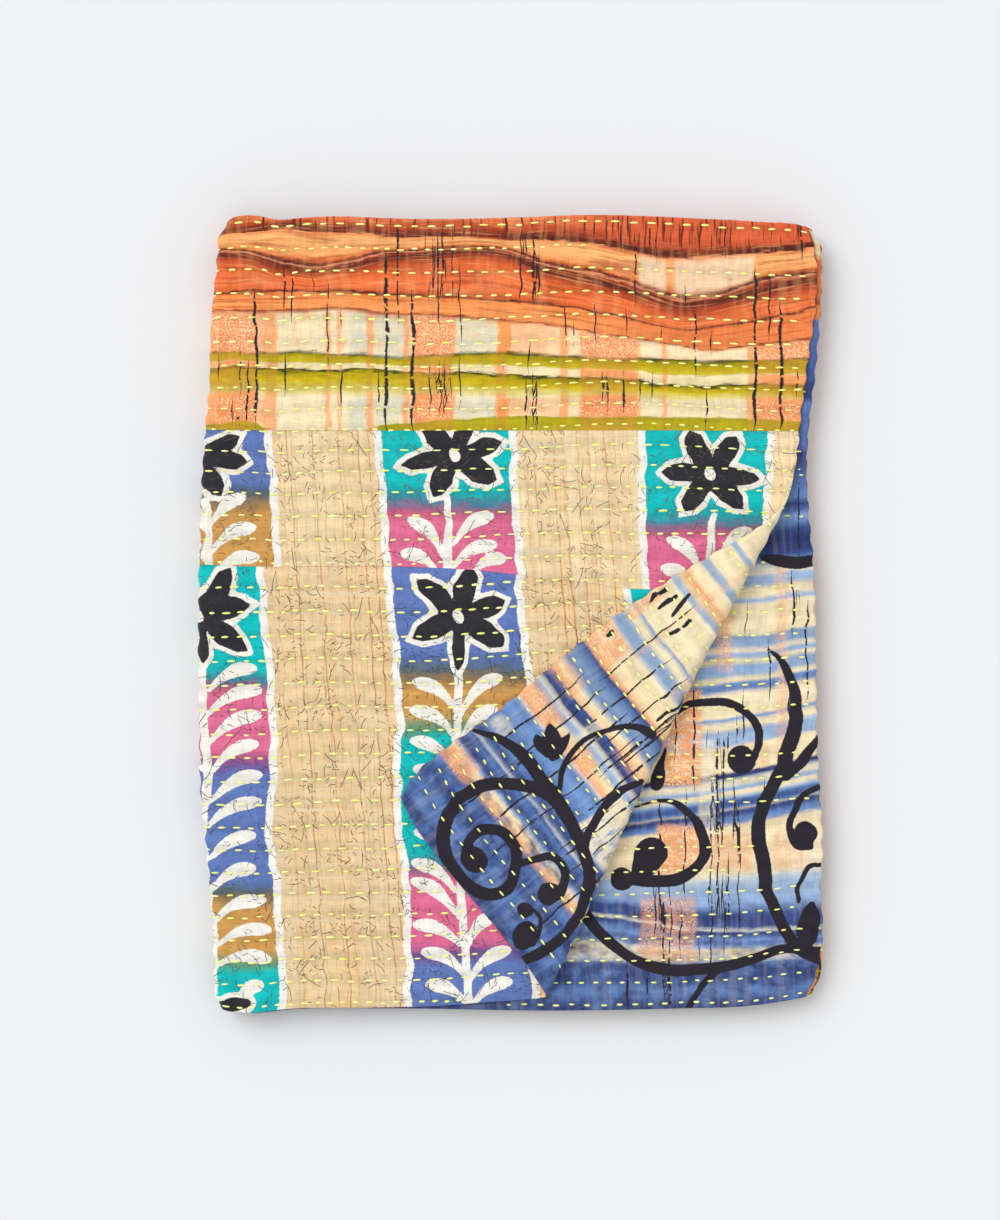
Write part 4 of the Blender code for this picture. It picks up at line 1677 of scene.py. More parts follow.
INNER_SCROLLS = ScrollPrint(
    lines=(
        Curve(((23, -314), (245, -310.9),)),
        Curve(((23, -273.7), (150, -275.3), (245, -270.6),)),
        Curve(((39, -233.4), (69, -237.4), (98, -242.1), (135, -250), (183, -251.6), (228, -250),
               (245, -248.5),)),
        Curve(((39, -171.8), (83, -170.2), (135, -163.9), (188, -156), (245, -145.8),)),
        Curve(((39, -141), (106, -136.3), (162, -130), (196, -124.4), (245, -114.2),)),
        Curve(((71, -67.5), (151, -60.4), (241, -47.8),)),
        Curve(((71, -32.8), (175, -20.9), (238, -13),)),
        Curve(((71, 101.5), (245, 117.3),)),
        Curve(((71, 285.6), (245, 287.2),)),
    ),
    heights=(0, 39.5, 77.4, 143, 183.3, 255.2, 293.1, 426.6, 557.7),
    scrolls=(
        ((201, -24, 0.6), (212, -34, 4.8), (221, -51, 7.7), (226, -68, 9.6), (226, -83, 11.5),
         (222, -101, 12.4), (217, -116, 11.5), (208, -137, 10.5), (199, -154, 10.5),
         (197, -173, 11.5), (200, -192, 11.5), (202, -212, 10.5), (208, -231, 9.6),
         (217, -250, 9.6), (229, -265, 9.6), (246, -273, 9.6),),
        ((219, -127, 9.6), (231, -116, 8.4), (242, -102, 7.7), (245, -97, 5.7),),
        ((245, -137, 4.6), (232, -145, 5.4), (224, -158, 5.7), (222, -171, 5.7), (228, -183, 6.5),
         (238, -183, 7.7),),
        ((234, -173, 17.6), (235, -174, 18.4),),
        ((239, -229, 4.6), (238, -238, 15.3), (236, -250, 18.4), (234, -259, 11.5),
         (232, -264, 3.8),),
        ((247, -198, 3.4), (236, -200, 3.8), (229, -214, 3.8), (228, -227, 3.8),),
        ((120, -83, 1.9), (131, -78, 4.6), (142, -71, 5.7), (158, -69, 6.5), (173, -70, 6.5),
         (187, -78, 6.5), (195, -89, 6.7), (197, -102, 6.5), (194, -112, 5.7),),
        ((183, -114, 21.4), (183, -115, 21.8),),
        ((98, -152, 1.9), (116, -148, 2.9), (131, -150, 4.8), (144, -160, 6.7), (152, -173, 8.6),
         (154, -187, 9.6), (148, -200, 8.6), (135, -209, 9.6), (120, -212, 9.6), (102, -210, 9.6),
         (85, -207, 9.6),),
        ((111, -190, 26.8), (109, -195, 23), (103, -207, 13.4),),
        ((89, -209, 17.2), (89, -210, 18.4),),
        ((58, -237, 9.6), (68, -250, 9.2), (85, -265, 8.6), (102, -275, 8.8), (125, -281, 9.6),
         (146, -281, 9.2), (173, -278, 8.6), (198, -271, 8), (217, -265, 7.7),
         (246, -267, 7.7),),
        ((162, -284, 5.7), (150, -296, 4.8), (141, -311, 5.7), (143, -319, 6.5),),
        ((123, -106, 1.9), (120, -118, 5.7), (117, -129, 11.5), (116, -135, 10),),
        ((200, 45, 4.7), (211, 43, 9.5), (226, 41, 10.3), (240, 43, 8.7),),
    ),
    warm=(
        (157.6, 190.8, -201.8, -173.4, 0.6), (208.2, 233.4, -201.8, -173.4, 0.4),
        (163.1, 175.8, -45.4, 19.4, 0.5), (210.5, 219.2, -122.8, 43.1, 0.45),
        (121.3, 151.3, -135.5, -59.6, 1), (116.5, 149.7, -208.2, -167.1, 1),
        (102.3, 146.5, -274.5, -224, 0.55), (185.3, 205, -119.7, -103.1, 0.4),
    ),
    pale=((149.7, 162.3, -201.8, -99.1, 0.5), (220.8, 252.4, -200.3, -175, 0.6)),
    runs=((159.2, -297, -162, 1.1), (164.7, -241, -158, 1.1), (169.1, -273, -202, 0.9),
          (180.5, -249, -147), (184.5, -103, -60), (178.9, -101, -80), (172.6, -249, -186, 1.1),
          (149.7, -314, -305), (121.3, -305, -229), (126.8, -312, -210, 1.1), (134.7, -273, -229),
          (140.2, -60, 11, 0.9), (145.4, -139, -54, 1.7), (118.6, -257, -147, 1.6),
          (138.6, -226, -139), (155.2, -105, -92), (159.2, -181, -129), (163.9, -181, -92, 1.7),
          (168.7, -181, -98), (172.6, -115, -92), (177.4, -181, -129), (156.8, -237, -218),
          (162.3, -237, -223), (174.2, -237, -218), (92.8, -314, -273, 1.9),
          (125.2, -312, -269, 1.7), (201.8, -194, -129), (220.8, -103, -60), (186.8, -20, 11, 0.9),
          (223.6, -18, 34, 1.9), (227.9, 10, 19, 2.5), (205, -68, -20), (228.7, 43, 106, 1.6),
          (235, -68, 11, 1.9), (149.7, -273, -257), (182.1, -202, -162), (114.2, -257, -210),
          (130.7, -115, -60), (108.6, -308, -273),),
)

CORNER_SCROLLS = ScrollPrint(
    lines=(
        Curve(((23, -295.1), (245, -295.1),)),
        Curve(((23, -107), (245, -107),)),
        Curve(((23, 147.3), (245, 147.3),)),
    ),
    heights=(0, 188, 442.4),
    scrolls=(
        ((137, -203, 6), (158, -205, 9.3), (173, -212, 10), (191, -233, 10), (198, -255, 10),
         (193, -277, 10.7), (174, -294, 10.7), (150, -299, 10), (127, -292, 10), (119, -276, 10),
         (128, -259, 9.3), (140, -250, 8.7), (156, -250, 8.7), (166, -259, 8.7), (169, -271, 8),
         (162, -282, 8), (153, -283, 10),),
        ((154, -281, 20.7), (152, -281, 20),),
        ((128, -259, 4.7), (126, -252, 5.3), (122, -240, 6), (114, -230, 6.7), (99, -231, 7.3),
         (90, -243, 8.7), (94, -250, 16.7), (94, -252, 17.3),),
        ((98, -274, 11.3), (97, -274, 12.7),),
        ((99, -270, 2.7), (85, -269, 3.3), (76, -277, 4), (74, -286, 8),),
        ((86, -280, 6.7), (82, -286, 18.7), (78, -292, 13.3),),
        ((235, -218, 3.3), (216, -207, 6.7), (192, -200, 10), (169, -200, 10.7), (148, -201, 11.7),
         (125, -203, 10.7), (104, -209, 10), (84, -219, 9.3), (67, -242, 8.3), (62, -264, 8.3),
         (63, -285, 9.3), (65, -299, 8),),
        ((148, -201, 4), (155, -193, 4), (167, -180, 4.7), (173, -160, 4.7), (168, -138, 4),
         (156, -117, 5.3), (142, -109, 8),),
        ((178, -183, 5.3), (186, -177, 14.7), (194, -172, 11.3), (202, -168, 1.3),),
        ((183, -184, 7.3), (193, -184, 10), (201, -182, 1.3),),
        ((178, -179, 7.3), (182, -169, 8), (185, -160, 1.3),),
        ((104, -209, 6), (114, -193, 6.7), (121, -175, 7.3), (122, -159, 6.7),
         (117, -138, 4.7),),
        ((147, -99, 2.7), (146, -81, 2.7), (144, -64, 2.7),),
        ((228, -46, 2.7), (230, -40, 4.7),),
        ((228, -37, 2.7), (228, -30, 4.7),),
        ((219, -44, 2.7), (219, -33, 4.7),),
        ((218, -33, 2.7), (218, -27, 4),),
        ((207, -39, 2.7), (210, -28, 4), (212, -18, 2.7),),
        ((196, -50, 2.7), (195, -43, 4),),
        ((194, -38, 2.7), (195, -31, 4),),
        ((227, -89, 3.3), (227, -85, 4.7),),
    ),
    warm=(
        (206, 260, -250.8, -233.4, 0.7), (196, 260, -171.8, -156, 0.8),
        (150, 176, -173.4, -156, 0.7), (206, 260, -142.6, -126, 0.6), (120, 150, -142.6, -126, 0.4),
        (206, 260, -105.5, -80.2, 0.8), (224, 260, -67.5, -28, 0.7), (150, 160, -83.3, 43.1, 0.25),
        (232, 260, -12.2, 43.1, 0.4), (196, 202, -83.3, 43.1, 0.3),
    ),
    pale=((78, 122, -206, -160, 0.9), (166, 180, -160, -136, 0.6), (214, 232, -206, -192, 0.5)),
    runs=((43.8, -273, -210, 1.6), (62.8, -305, -226), (80.2, -293, -186, 1.6), (97.6, -229, -147),
          (110.2, -226, -131, 1.7), (116.5, -226, -162), (126.8, -194, -99, 1.9),
          (137.1, -147, -60), (141.8, -162, -68, 1.9), (147.3, -273, -115),
          (159.2, -147, -60, 1.7), (167.1, -249, -115, 1.9), (179.7, -147, -60, 1.6),
          (190.8, -273, -194, 1.6), (194.7, -210, -115, 1.6), (201.8, -115, -20, 1.4),
          (213.7, -210, -123, 1.6), (39.1, -297, -226, 1.6),),
)


# The finishes


def field_of(tree: Tree, name: str) -> Source:
    """One of the print's fields."""
    return add_node(tree, "Attribute", {"attribute_name": name}).outputs["Fac"]


def spread_out(tree: Tree, size: Size, seed: float, across: str = "up") -> Node:
    """Places on the cloth, in steps of a pattern's size.

    Args:
        tree: the node tree.
        size: the pattern's size along and up, in millimetres.
        seed: which part of the pattern is used.
        across: the field that is followed up the cloth.

    Returns:
        A vector.
    """
    plan = add_node(tree, "CombineXYZ", {}, {0: field_of(tree, "along"), 1: field_of(tree, across)})
    scale, start = (1 / size[0], 1 / size[1], 1.0), (seed * 7.3, seed * 3.1, 0)
    spread = {"operation": "MULTIPLY_ADD", 1: scale, 2: start}
    return add_node(tree, "VectorMath", spread, {0: plan})


def mottle(tree: Tree, size: Size, seed: float, detail: float, across: str = "up") -> Node:
    """Soft unevenness laid out on the cloth.

    Args:
        tree: the node tree.
        size: how far apart its patches are along and up, in millimetres.
        seed: which pattern.
        detail: how many finer patterns are added.
        across: the field that is followed up the cloth.

    Returns:
        A value round 0.5.
    """
    noise = {"noise_dimensions": "2D", "Scale": 1.0, "Detail": detail, "Roughness": 0.55}
    return add_node(tree, "TexNoise", noise, {"Vector": spread_out(tree, size, seed, across)})


def strayed(
    tree: Tree, value: Source, reach: float, size: Size, seed: float, detail: float
) -> Node:
    """A value that strays a little from place to place.

    Args:
        tree: the node tree.
        value: the value.
        reach: how far it strays, up or down.
        size: how far apart its strays are, in millimetres.
        seed: which pattern.
        detail: how many finer patterns are added.

    Returns:
        The new value.
    """
    stray = {"operation": "MULTIPLY_ADD", 1: 2 * reach, 2: -reach}
    stray = add_node(tree, "Math", stray, {0: mottle(tree, size, seed, detail)})
    return add_node(tree, "Math", {"operation": "ADD"}, {0: value, 1: stray})


def inside(
    tree: Tree,
    distance: Source,
    edge: float = 0.0,
    soft: float = 0.3,
    rough: float = 0.0,
    size: Size = (2.2, 2.2),
) -> Node:
    """A mask of what lies inside an edge, such as a motif's.

    Args:
        tree: the node tree.
        distance: how far outside the motif each point is.
        edge: the distance at which the mask ends.
        soft: how far it fades on either side of the edge.
        rough: how far the edge strays.
        size: how far apart its strays are.

    Returns:
        1 inside and 0 outside.
    """
    if rough:
        distance = strayed(tree, distance, rough, size, 5, 1)
    return ramp_up(tree, distance, edge + soft, edge - soft)


def ramp_up(
    tree: Tree, value: Source, none: float, full: float, low: float = 0.0, high: float = 1.0
) -> Node:
    """Turns a value into a mask.

    Args:
        tree: the node tree.
        value: the value.
        none: where the mask is lowest.
        full: where it is highest.
        low: its lowest.
        high: its highest.

    Returns:
        The mask.
    """
    span = {"From Min": none, "From Max": full, "To Min": low, "To Max": high}
    return add_node(tree, "MapRange", span, {"Value": value})


def patches(
    tree: Tree,
    size: Size,
    seed: float,
    detail: float,
    edge: float,
    soft: float,
    across: str = "up",
) -> Node:
    """A mask of uneven patches.

    Args:
        tree: the node tree.
        size: how far apart they are along and up, in millimetres.
        seed: which pattern.
        detail: how many finer patterns are added.
        edge: how much of the cloth they take: 0.5 for half.
        soft: how softly they end.
        across: the field that is followed up the cloth.

    Returns:
        1 inside and 0 outside.
    """
    return inside(tree, mottle(tree, size, seed, detail, across), edge, soft)


def both(tree: Tree, *masks: Source | float) -> Source:
    """Where all of several masks are.

    Args:
        tree: the node tree.
        masks: the masks, and numbers that weaken them.

    Returns:
        Their product.
    """
    found = masks[0]
    for mask in masks[1:]:
        settings, links = ({1: mask}, {}) if isinstance(mask, float) else ({}, {1: mask})
        found = add_node(tree, "Math", {"operation": "MULTIPLY"} | settings, {0: found} | links)
    return found


def colours_along(
    tree: Tree,
    value: Source,
    span: tuple[float, float],
    stops: Stops,
    sharp: bool = False,
) -> Node:
    """Colours laid out along a value.

    Args:
        tree: the node tree.
        value: what they follow.
        span: its lowest and highest.
        stops: (value, hex colour), in order, 32 at most.
        sharp: whether each colour holds until the next.

    Returns:
        The colour.
    """
    low, high = span
    node = add_node(tree, "ValToRGB", {}, {0: ramp_up(tree, value, low, high)})
    node.color_ramp.interpolation = "CONSTANT" if sharp else "LINEAR"
    places = node.color_ramp.elements
    places.remove(places[-1])
    for i, (at, colour) in enumerate(stops):
        at = (at - low) / (high - low)
        stop = places.new(at) if i else places[0]
        stop.position, stop.color = at, linear(colour)
    return node


def run_dye(tree: Tree) -> Source:
    """A mask of the thin lines of dye that has run.

    Args:
        tree: the node tree.

    Returns:
        1 on a line and 0 elsewhere.
    """
    size = add_node(tree, "Math", {"operation": "ABSOLUTE"}, {0: field_of(tree, "run")})
    near = inside(tree, field_of(tree, "run_off"), 0.9, 0.3)
    whole = patches(tree, (9, 6), 71, 1, 0.66, 0.03)
    return both(tree, inside(tree, size, 0.95, 0.3, 0.55, (1.3, 2.6)), near, whole)


def pinstripes(tree: Tree, apart: float, wide: float, seed: float) -> Source:
    """A mask of thin stripes up the cloth, unevenly spaced and each of its own strength.

    Args:
        tree: the node tree.
        apart: the mean distance between them, in millimetres.
        wide: half of one's width.
        seed: which pattern.

    Returns:
        Up to 1 on a stripe and 0 elsewhere.
    """
    stray = {"operation": "MULTIPLY_ADD", 1: 5.0, 2: seed * 31}
    stray = add_node(tree, "Math", stray, {0: mottle(tree, (60, 45), seed, 2)})
    place = add_node(tree, "Math", {"operation": "ADD"}, {0: field_of(tree, "along"), 1: stray})
    cells = {"voronoi_dimensions": "1D", "Scale": 1 / apart}
    cell = add_node(tree, "TexVoronoi", cells, {"W": place}).outputs
    lot = add_node(tree, "SeparateColor", {}, {0: cell["Color"]})
    stripe = inside(tree, cell["Distance"], wide / apart, 0.3 / apart)
    return both(tree, stripe, ramp_up(tree, lot, 0.1, 0.7))


def scratches(
    tree: Tree,
    reach: float,
    seed: float,
    lean: tuple[float, float],
    kept: float,
    thin: float = 0.26,
) -> Source:
    """A mask of short pen strokes, each bent its own way, scattered over the print.

    Args:
        tree: the node tree.
        reach: how far apart they are and about how long, in millimetres.
        seed: which pattern.
        lean: the least and the greatest angle that a stroke turns to, in degrees.
        kept: the share of them that is drawn.
        thin: half a stroke's width, in millimetres.

    Returns:
        1 on a stroke and 0 elsewhere.
    """
    place = spread_out(tree, (reach, reach), seed)
    cells = {"voronoi_dimensions": "2D", "Scale": 1.0}
    cell = add_node(tree, "TexVoronoi", cells, {"Vector": place}).outputs
    away = add_node(
        tree, "VectorMath", {"operation": "SUBTRACT"}, {0: place, 1: cell["Position"]}
    )
    lot = add_node(tree, "SeparateColor", {}, {0: cell["Color"]}).outputs
    low, high = (math.radians(angle) for angle in lean)
    turn = {"operation": "MULTIPLY_ADD", 1: high - low, 2: low}
    angle = add_node(tree, "Math", turn, {0: lot[0]})
    around = {"rotation_type": "Z_AXIS"}
    turned = add_node(tree, "VectorRotate", around, {"Vector": away, "Angle": angle})
    parts = add_node(tree, "SeparateXYZ", {}, {0: turned}).outputs
    bend = add_node(tree, "Math", {"operation": "MULTIPLY_ADD", 1: 1.3, 2: -0.65}, {0: lot[1]})
    bow = both(tree, parts[0], parts[0], bend)
    aside = add_node(tree, "Math", {"operation": "ADD"}, {0: parts[1], 1: bow})
    aside = add_node(tree, "Math", {"operation": "ABSOLUTE"}, {0: aside})
    along = add_node(tree, "Math", {"operation": "ABSOLUTE"}, {0: parts[0]})
    drawn = add_node(tree, "Math", {"operation": "LESS_THAN", 1: kept}, {0: lot[2]})
    line = inside(tree, aside, thin / reach, 0.16 / reach)
    return both(tree, line, inside(tree, along, 0.46, 0.02), drawn)


Layer = tuple[str | Source, Source | float]


@dataclass(frozen=True)
class WornCotton:
    """Old sari cotton, washed thin and soft.

    Fine plain weave scatters light almost evenly, so it is rough all over with a faint pale bloom
    at the edges of its folds, and no gloss.
    """

    name: str = "worn_cotton"
    roughness: float = 0.92
    specular: float = 0.25
    sheen: float = 0.15
    ior: float = 1.46
    yarn: float = 1.3  # millimetres; the real yarn is 0.4, drawn as coarse as it needs to show
    float_length: float = 14.0  # how much longer a yarn's patch is than it is wide
    relief: float = 0.35
    wear_and_painted_shade: float = 0.13  # how much paler the raised cloth is, where it has been rubbed, and how much darker the hollows between the rows are painted as shade
    patchy: float = 0.09

    def layers(self, tree: Tree) -> Iterable[Layer]:
        """Colours from the ground up, each with where it lies."""
        yield "#ece0c8", 1.0

    def build(self) -> bpy.types.Material:
        """Makes the material.

        Returns:
            The material.
        """
        material, shader = new_material(self.name, self.roughness, self.specular)
        shader.inputs["IOR"].default_value = self.ior
        shader.inputs["Sheen Weight"].default_value = self.sheen
        self.dress(material.node_tree, shader)
        return material

    def dress(self, tree: Tree, shader: Node) -> None:
        """Lays the colours over each other, draws the weave in them, and paints shade into the hollows of the quilted
        relief, with the raised cloth paler where rubbed.

        Args:
            tree: the node tree.
            shader: its shader.
        """
        colour: str | Source = "#ffffff"
        for paint, where in self.layers(tree):
            plain, linked = {"data_type": "RGBA"}, {}
            for slot, source in ((0, where), (6, colour), (7, paint)):
                if isinstance(source, str):
                    plain[slot] = linear(source)
                else:
                    (plain if isinstance(source, float) else linked)[slot] = source
            colour = add_node(tree, "Mix", plain, linked).outputs[2]
        warp = mottle(tree, (self.yarn, self.yarn * self.float_length), 2, 0)
        weft = mottle(tree, (self.yarn * self.float_length, self.yarn), 3, 0)
        yarns = add_node(tree, "Math", {"operation": "ADD"}, {0: warp, 1: weft})
        shade = ramp_up(tree, yarns, 0.6, 1.4, 0.93, 1.07)
        # Painted shade: the hollows of the quilted relief are darkened in the colour, and the raised cloth is made
        # paler where it is rubbed.
        rubbed_and_shaded = ramp_up(tree, field_of(tree, "height"), -1.0, 1.0, 1 - self.wear_and_painted_shade, 1 + self.wear_and_painted_shade)
        cloudy = mottle(tree, (13, 7), 70, 4)
        cloudy = ramp_up(tree, cloudy, 0.3, 0.7, 1 - self.patchy, 1 + self.patchy)
        shade = both(tree, shade, rubbed_and_shaded, cloudy)
        hue = add_node(tree, "HueSaturation", {}, {"Color": colour, "Value": shade})
        tree.links.new(hue.outputs[0], shader.inputs["Base Color"])
        raised = {"Strength": self.relief, "Distance": 0.2 * MM}
        bump = add_node(tree, "Bump", raised, {"Height": yarns})
        tree.links.new(bump.outputs[0], shader.inputs["Normal"])


@dataclass(frozen=True)
class OmbreCotton(WornCotton):
    """Sari cotton brushed with wet bands of dye that bled into each other.

    The soft bands with one hard, dark edge each give the look of dye that dried from one side.
    """

    name: str = "cotton_with_brushed_ombre_bands"
    bands: Stops = (
        (0.0, "#ea7c4c"), (0.35, "#e26c3e"), (0.6, "#bc4824"), (0.78, "#782a18"), (0.97, "#4c1a12"),
        (1.02, "#5e2013"), (1.07, "#f0965a"), (1.3, "#fbb874"), (1.7, "#f7a662"), (1.88, "#cc6430"),
        (1.94, "#5a2016"), (2.02, "#53201a"), (2.08, "#e09672"), (2.14, "#b8603c"),
        (2.2, "#6a2418"), (2.45, "#58201a"), (2.6, "#8c341e"), (2.75, "#a8401f"), (3.0, "#cf5a2c"),
        (3.08, "#e0662f"), (3.7, "#ee7440"), (3.93, "#d66230"), (3.97, "#5c2316"),
        (4.03, "#6e2a18"), (4.09, "#f08c48"), (4.9, "#f89a56"), (4.96, "#9a4220"),
        (5.02, "#a04822"), (5.07, "#f2a266"), (5.5, "#f1ae72"), (5.93, "#f0b47c"),
    )
    lower_bands: Stops = (
        (5.94, "#34330a"), (6.03, "#4a480a"), (6.1, "#9a8b06"), (6.3, "#bba30a"), (6.55, "#c6b026"),
        (6.63, "#ecd9a8"), (6.95, "#ead6a4"), (6.98, "#2c2c08"), (7.03, "#4c4a08"),
        (7.08, "#a08f08"), (7.22, "#c4aa0a"), (7.3, "#ccb41e"), (7.36, "#cebb50"), (7.5, "#dac97c"),
        (7.64, "#ecd9a8"), (7.92, "#f0dcae"), (7.98, "#ada038"), (8.04, "#e9d6a2"),
        (8.3, "#e6d29a"), (8.36, "#9d920e"), (8.7, "#b8a914"), (9.0, "#b6a51c"),
    )
    checks: Stops = (  # from each place along, in millimetres, to the next
        (-245.3, "#f3b988"), (-201.8, "#f2b184"), (-194.7, "#ecd9ae"), (-185.3, "#eedbb2"),
        (-130.7, "#dbd5b8"), (-114.2, "#e4d6b0"), (-107.8, "#dcd5b6"), (-85.7, "#f0c79a"),
        (-77.8, "#f3b98c"), (-44.6, "#ded6b6"), (-11.5, "#ec9f60"), (-2.8, "#f2bd8c"),
        (27.3, "#f4c89a"), (39.1, "#efcf9e"), (45.4, "#ecd6a8"), (54.9, "#f3c090"),
        (100.7, "#eddab0"), (124.4, "#ecd8ae"), (186.8, "#eed2a4"), (191.6, "#f3b988"),
        (239.8, "#efdcb0"),
    )

    def layers(self, tree: Tree) -> Iterable[Layer]:
        """The bands, the checks over them, and the run dye.

        Args:
            tree: the node tree.

        Yields:
            Each layer.
        """
        names = ("along", "checked", "speckled", "column", "olive", "pale")
        along, checked, speckled, column, olive, pale = (field_of(tree, name) for name in names)
        band = strayed(tree, field_of(tree, "band"), 0.13, (14, 3), 1, 3)
        yield colours_along(tree, band, (0, 9), self.bands), 1.0
        lower = add_node(tree, "Math", {"operation": "GREATER_THAN", 1: 5.935}, {0: band})
        yield colours_along(tree, band, (0, 9), self.lower_bands), lower
        place = strayed(tree, along, 1.5, (40, 5), 6, 1)
        checks = colours_along(tree, place, (-400, 400), self.checks, True)
        yield checks, both(tree, checked, patches(tree, (9, 6), 8, 2, 0.72, 0.2))
        upper = inside(tree, band, 5.0, 0.3)
        streaks = patches(tree, (60, 0.16), 40, 3, 0.42, 0.08, "band")
        yield "#a8401f", both(tree, streaks, upper, 0.62)
        streaks = patches(tree, (50, 0.12), 45, 3, 0.38, 0.06, "band")
        yield "#f0a468", both(tree, streaks, upper, 0.5)
        yield "#f2ac74", both(tree, patches(tree, (7, 60), 43, 2, 0.44, 0.1), upper, 0.2)
        right = ramp_up(tree, along, 40, 110, 0, 0.85)
        yield "#d85d35", both(tree, right, inside(tree, band, 0.84, 0.06))
        below = ramp_up(tree, band, 4.06, 4.1)
        yield "#dd6a38", both(tree, right, below, inside(tree, band, 4.9, 0.04), 0.6)
        yield "#edcba4", both(tree, pale, patches(tree, (7, 5), 62, 2, 0.74, 0.16))
        drips = patches(tree, (2.4, 34), 46, 2, 0.36, 0.05)
        yield "#6c2818", both(tree, drips, inside(tree, band, 1.0, 0.1))
        clear = ramp_up(tree, olive, 0, 1, 1, 0.12)
        yield "#f0944f", both(tree, column, ramp_up(tree, band, 5.0, 5.1), clear)
        yield "#b8861c", both(tree, column, olive, 0.5)
        dyed_twice = both(tree, speckled, ramp_up(tree, band, 5.97, 6.03))
        yield "#ee9250", both(tree, dyed_twice, clear, 0.9)
        yield "#c08a2a", both(tree, dyed_twice, olive, 0.45)
        spots = patches(tree, (1.5, 1.5), 10, 1, 0.6, 0.06)
        dots = patches(tree, (1.5, 1.5), 9, 1, 0.43, 0.07)
        here = both(tree, speckled, checked)
        yield "#ee8c50", both(tree, spots, here)
        yield "#f7d0a8", both(tree, dots, here, patches(tree, (8, 8), 63, 1, 0.62, 0.15))
        yield "#2b2226", run_dye(tree)


@dataclass(frozen=True)
class BlockPrintedCotton(WornCotton):
    """Sari cotton with motifs kept white by wax, dip-dyed round them, and a black block on top.

    Wax edges stay a little ragged, and each dye fades into the next.
    """

    name: str = "cotton_with_wax_resist_flowers"
    ground: str = "#e7cfa2"
    washed: float = 0.1  # how far its stripes have faded
    pen: str = "#403732"
    dyes: Stops = (
        (0.0, "#04b8b8"), (0.18, "#16a3a4"), (0.42, "#3f7f92"), (0.6, "#8a6684"), (0.8, "#c8607f"),
        (1.0, "#d96a8e"), (1.2, "#d0658a"), (1.55, "#74508a"), (1.82, "#5a70ac"), (2.0, "#5f76b2"),
        (2.2, "#566ca2"), (2.45, "#566468"), (2.7, "#94764e"), (3.0, "#cb9650"), (3.2, "#bf9450"),
        (3.6, "#5b9574"), (3.85, "#10aea6"), (4.0, "#04b8b8"),
    )
    strokes: tuple[tuple[float, int, tuple[float, float], float], ...] = (  # as in scratches
        (22, 14, (40, 130), 0.42), (13, 16, (-180, 180), 0.25), (9, 19, (30, 150), 0.25),
        (6, 22, (-180, 180), 0.34), (3.8, 26, (-60, 60), 0.42),
    )

    def layers(self, tree: Tree) -> Iterable[Layer]:
        """The striped ground, the dyed columns, and the motifs and scratches over both.

        Args:
            tree: the node tree.

        Yields:
            Each layer.
        """
        yield self.ground, 1.0
        yield "#dfbc8a", both(tree, patches(tree, (13, 900), 11, 2, 0.5, 0.06), 0.8)
        yield "#cd985c", pinstripes(tree, 4.5, 0.25, 3)
        yield "#bd783a", pinstripes(tree, 11, 0.45, 1)
        yield "#ecd8b0", self.washed
        faded = patches(tree, (40, 40), 31, 1, 0.5, 0.15)
        yield "#dfc8a0", both(tree, patches(tree, (300, 4), 12, 1, 0.42, 0.1), faded)
        dye = strayed(tree, field_of(tree, "dye"), 0.2, (14, 5), 25, 3)
        dye = add_node(tree, "Math", {"operation": "FLOORED_MODULO", 1: 4.0}, {0: dye})
        edge, resist, dark = (field_of(tree, name) for name in ("dyed", "resist", "dark"))
        yield "#ece8de", inside(tree, edge, 3.6, 0.4, 0.9)
        yield colours_along(tree, dye, (0, 4), self.dyes), inside(tree, edge, -2.4, 0.3, 0.6)
        within_border = inside(tree, edge, 2.0, 0.3)
        yield "#e9e5d9", both(tree, inside(tree, resist, 0.0, 0.25, 0.5), within_border)
        yield "#2a292e", both(tree, inside(tree, dark, 0.0, 0.25, 0.3), within_border)
        for reach, seed, lean, kept in self.strokes:
            dense = patches(tree, (30, 24), seed + 2, 1, 0.54 if reach > 9 else 0.46, 0.03)
            yield self.pen, both(tree, scratches(tree, reach, seed, lean, kept), dense)


@dataclass(frozen=True)
class ScrollCotton(WornCotton):
    """Sari cotton with streaky brushed stripes and thick black scrolls.

    The brush left each stripe streaky, darker where it was wettest.
    """

    stripes: tuple[Stops, ...] = ()  # from the hem up, in several tables
    highest: float = 600.0  # millimetres above the hem

    def layers(self, tree: Tree) -> Iterable[Layer]:
        """The stripes, the undyed and orange places, and the scrolls.

        Args:
            tree: the node tree.

        Yields:
            Each layer.
        """
        stripe = strayed(tree, field_of(tree, "stripe"), 1.0, (7, 3), 1, 2)
        for stops in self.stripes:
            colours = colours_along(tree, stripe, (0, self.highest), stops)
            past = {"operation": "GREATER_THAN", 1: stops[0][0] + 0.01}
            yield colours, add_node(tree, "Math", past, {0: stripe}) if stops[0][0] else 1.0
        warm, pale = field_of(tree, "warm"), field_of(tree, "pale")
        blue = ramp_up(tree, stripe, 110, 60, 0, 0.8)
        yield "#2a3360", both(tree, patches(tree, (17, 9), 20, 3, 0.42, 0.14), blue)
        yield "#6486ba", both(tree, patches(tree, (12, 12), 23, 3, 0.40, 0.14), blue, 0.7)
        yield "#8fa6cc", both(tree, patches(tree, (6, 90), 27, 2, 0.42, 0.08), 0.05)
        yield "#f3dfb6", both(tree, patches(tree, (5, 90), 28, 2, 0.42, 0.1), 0.07)
        yield "#e8dcc0", both(tree, pale, patches(tree, (5, 12), 18, 2, 0.66, 0.14))
        yield "#ea9e66", both(tree, warm, patches(tree, (7, 4), 8, 3, 0.62, 0.12), 0.92)
        dots = both(tree, warm, patches(tree, (1.7, 1.7), 9, 1, 0.42, 0.05))
        yield "#f8dcb4", both(tree, dots, patches(tree, (14, 14), 61, 1, 0.52, 0.15))
        yield "#2a2226", run_dye(tree)
        yield "#26212a", inside(tree, field_of(tree, "scroll"), 0.0, 0.3, 0.35)


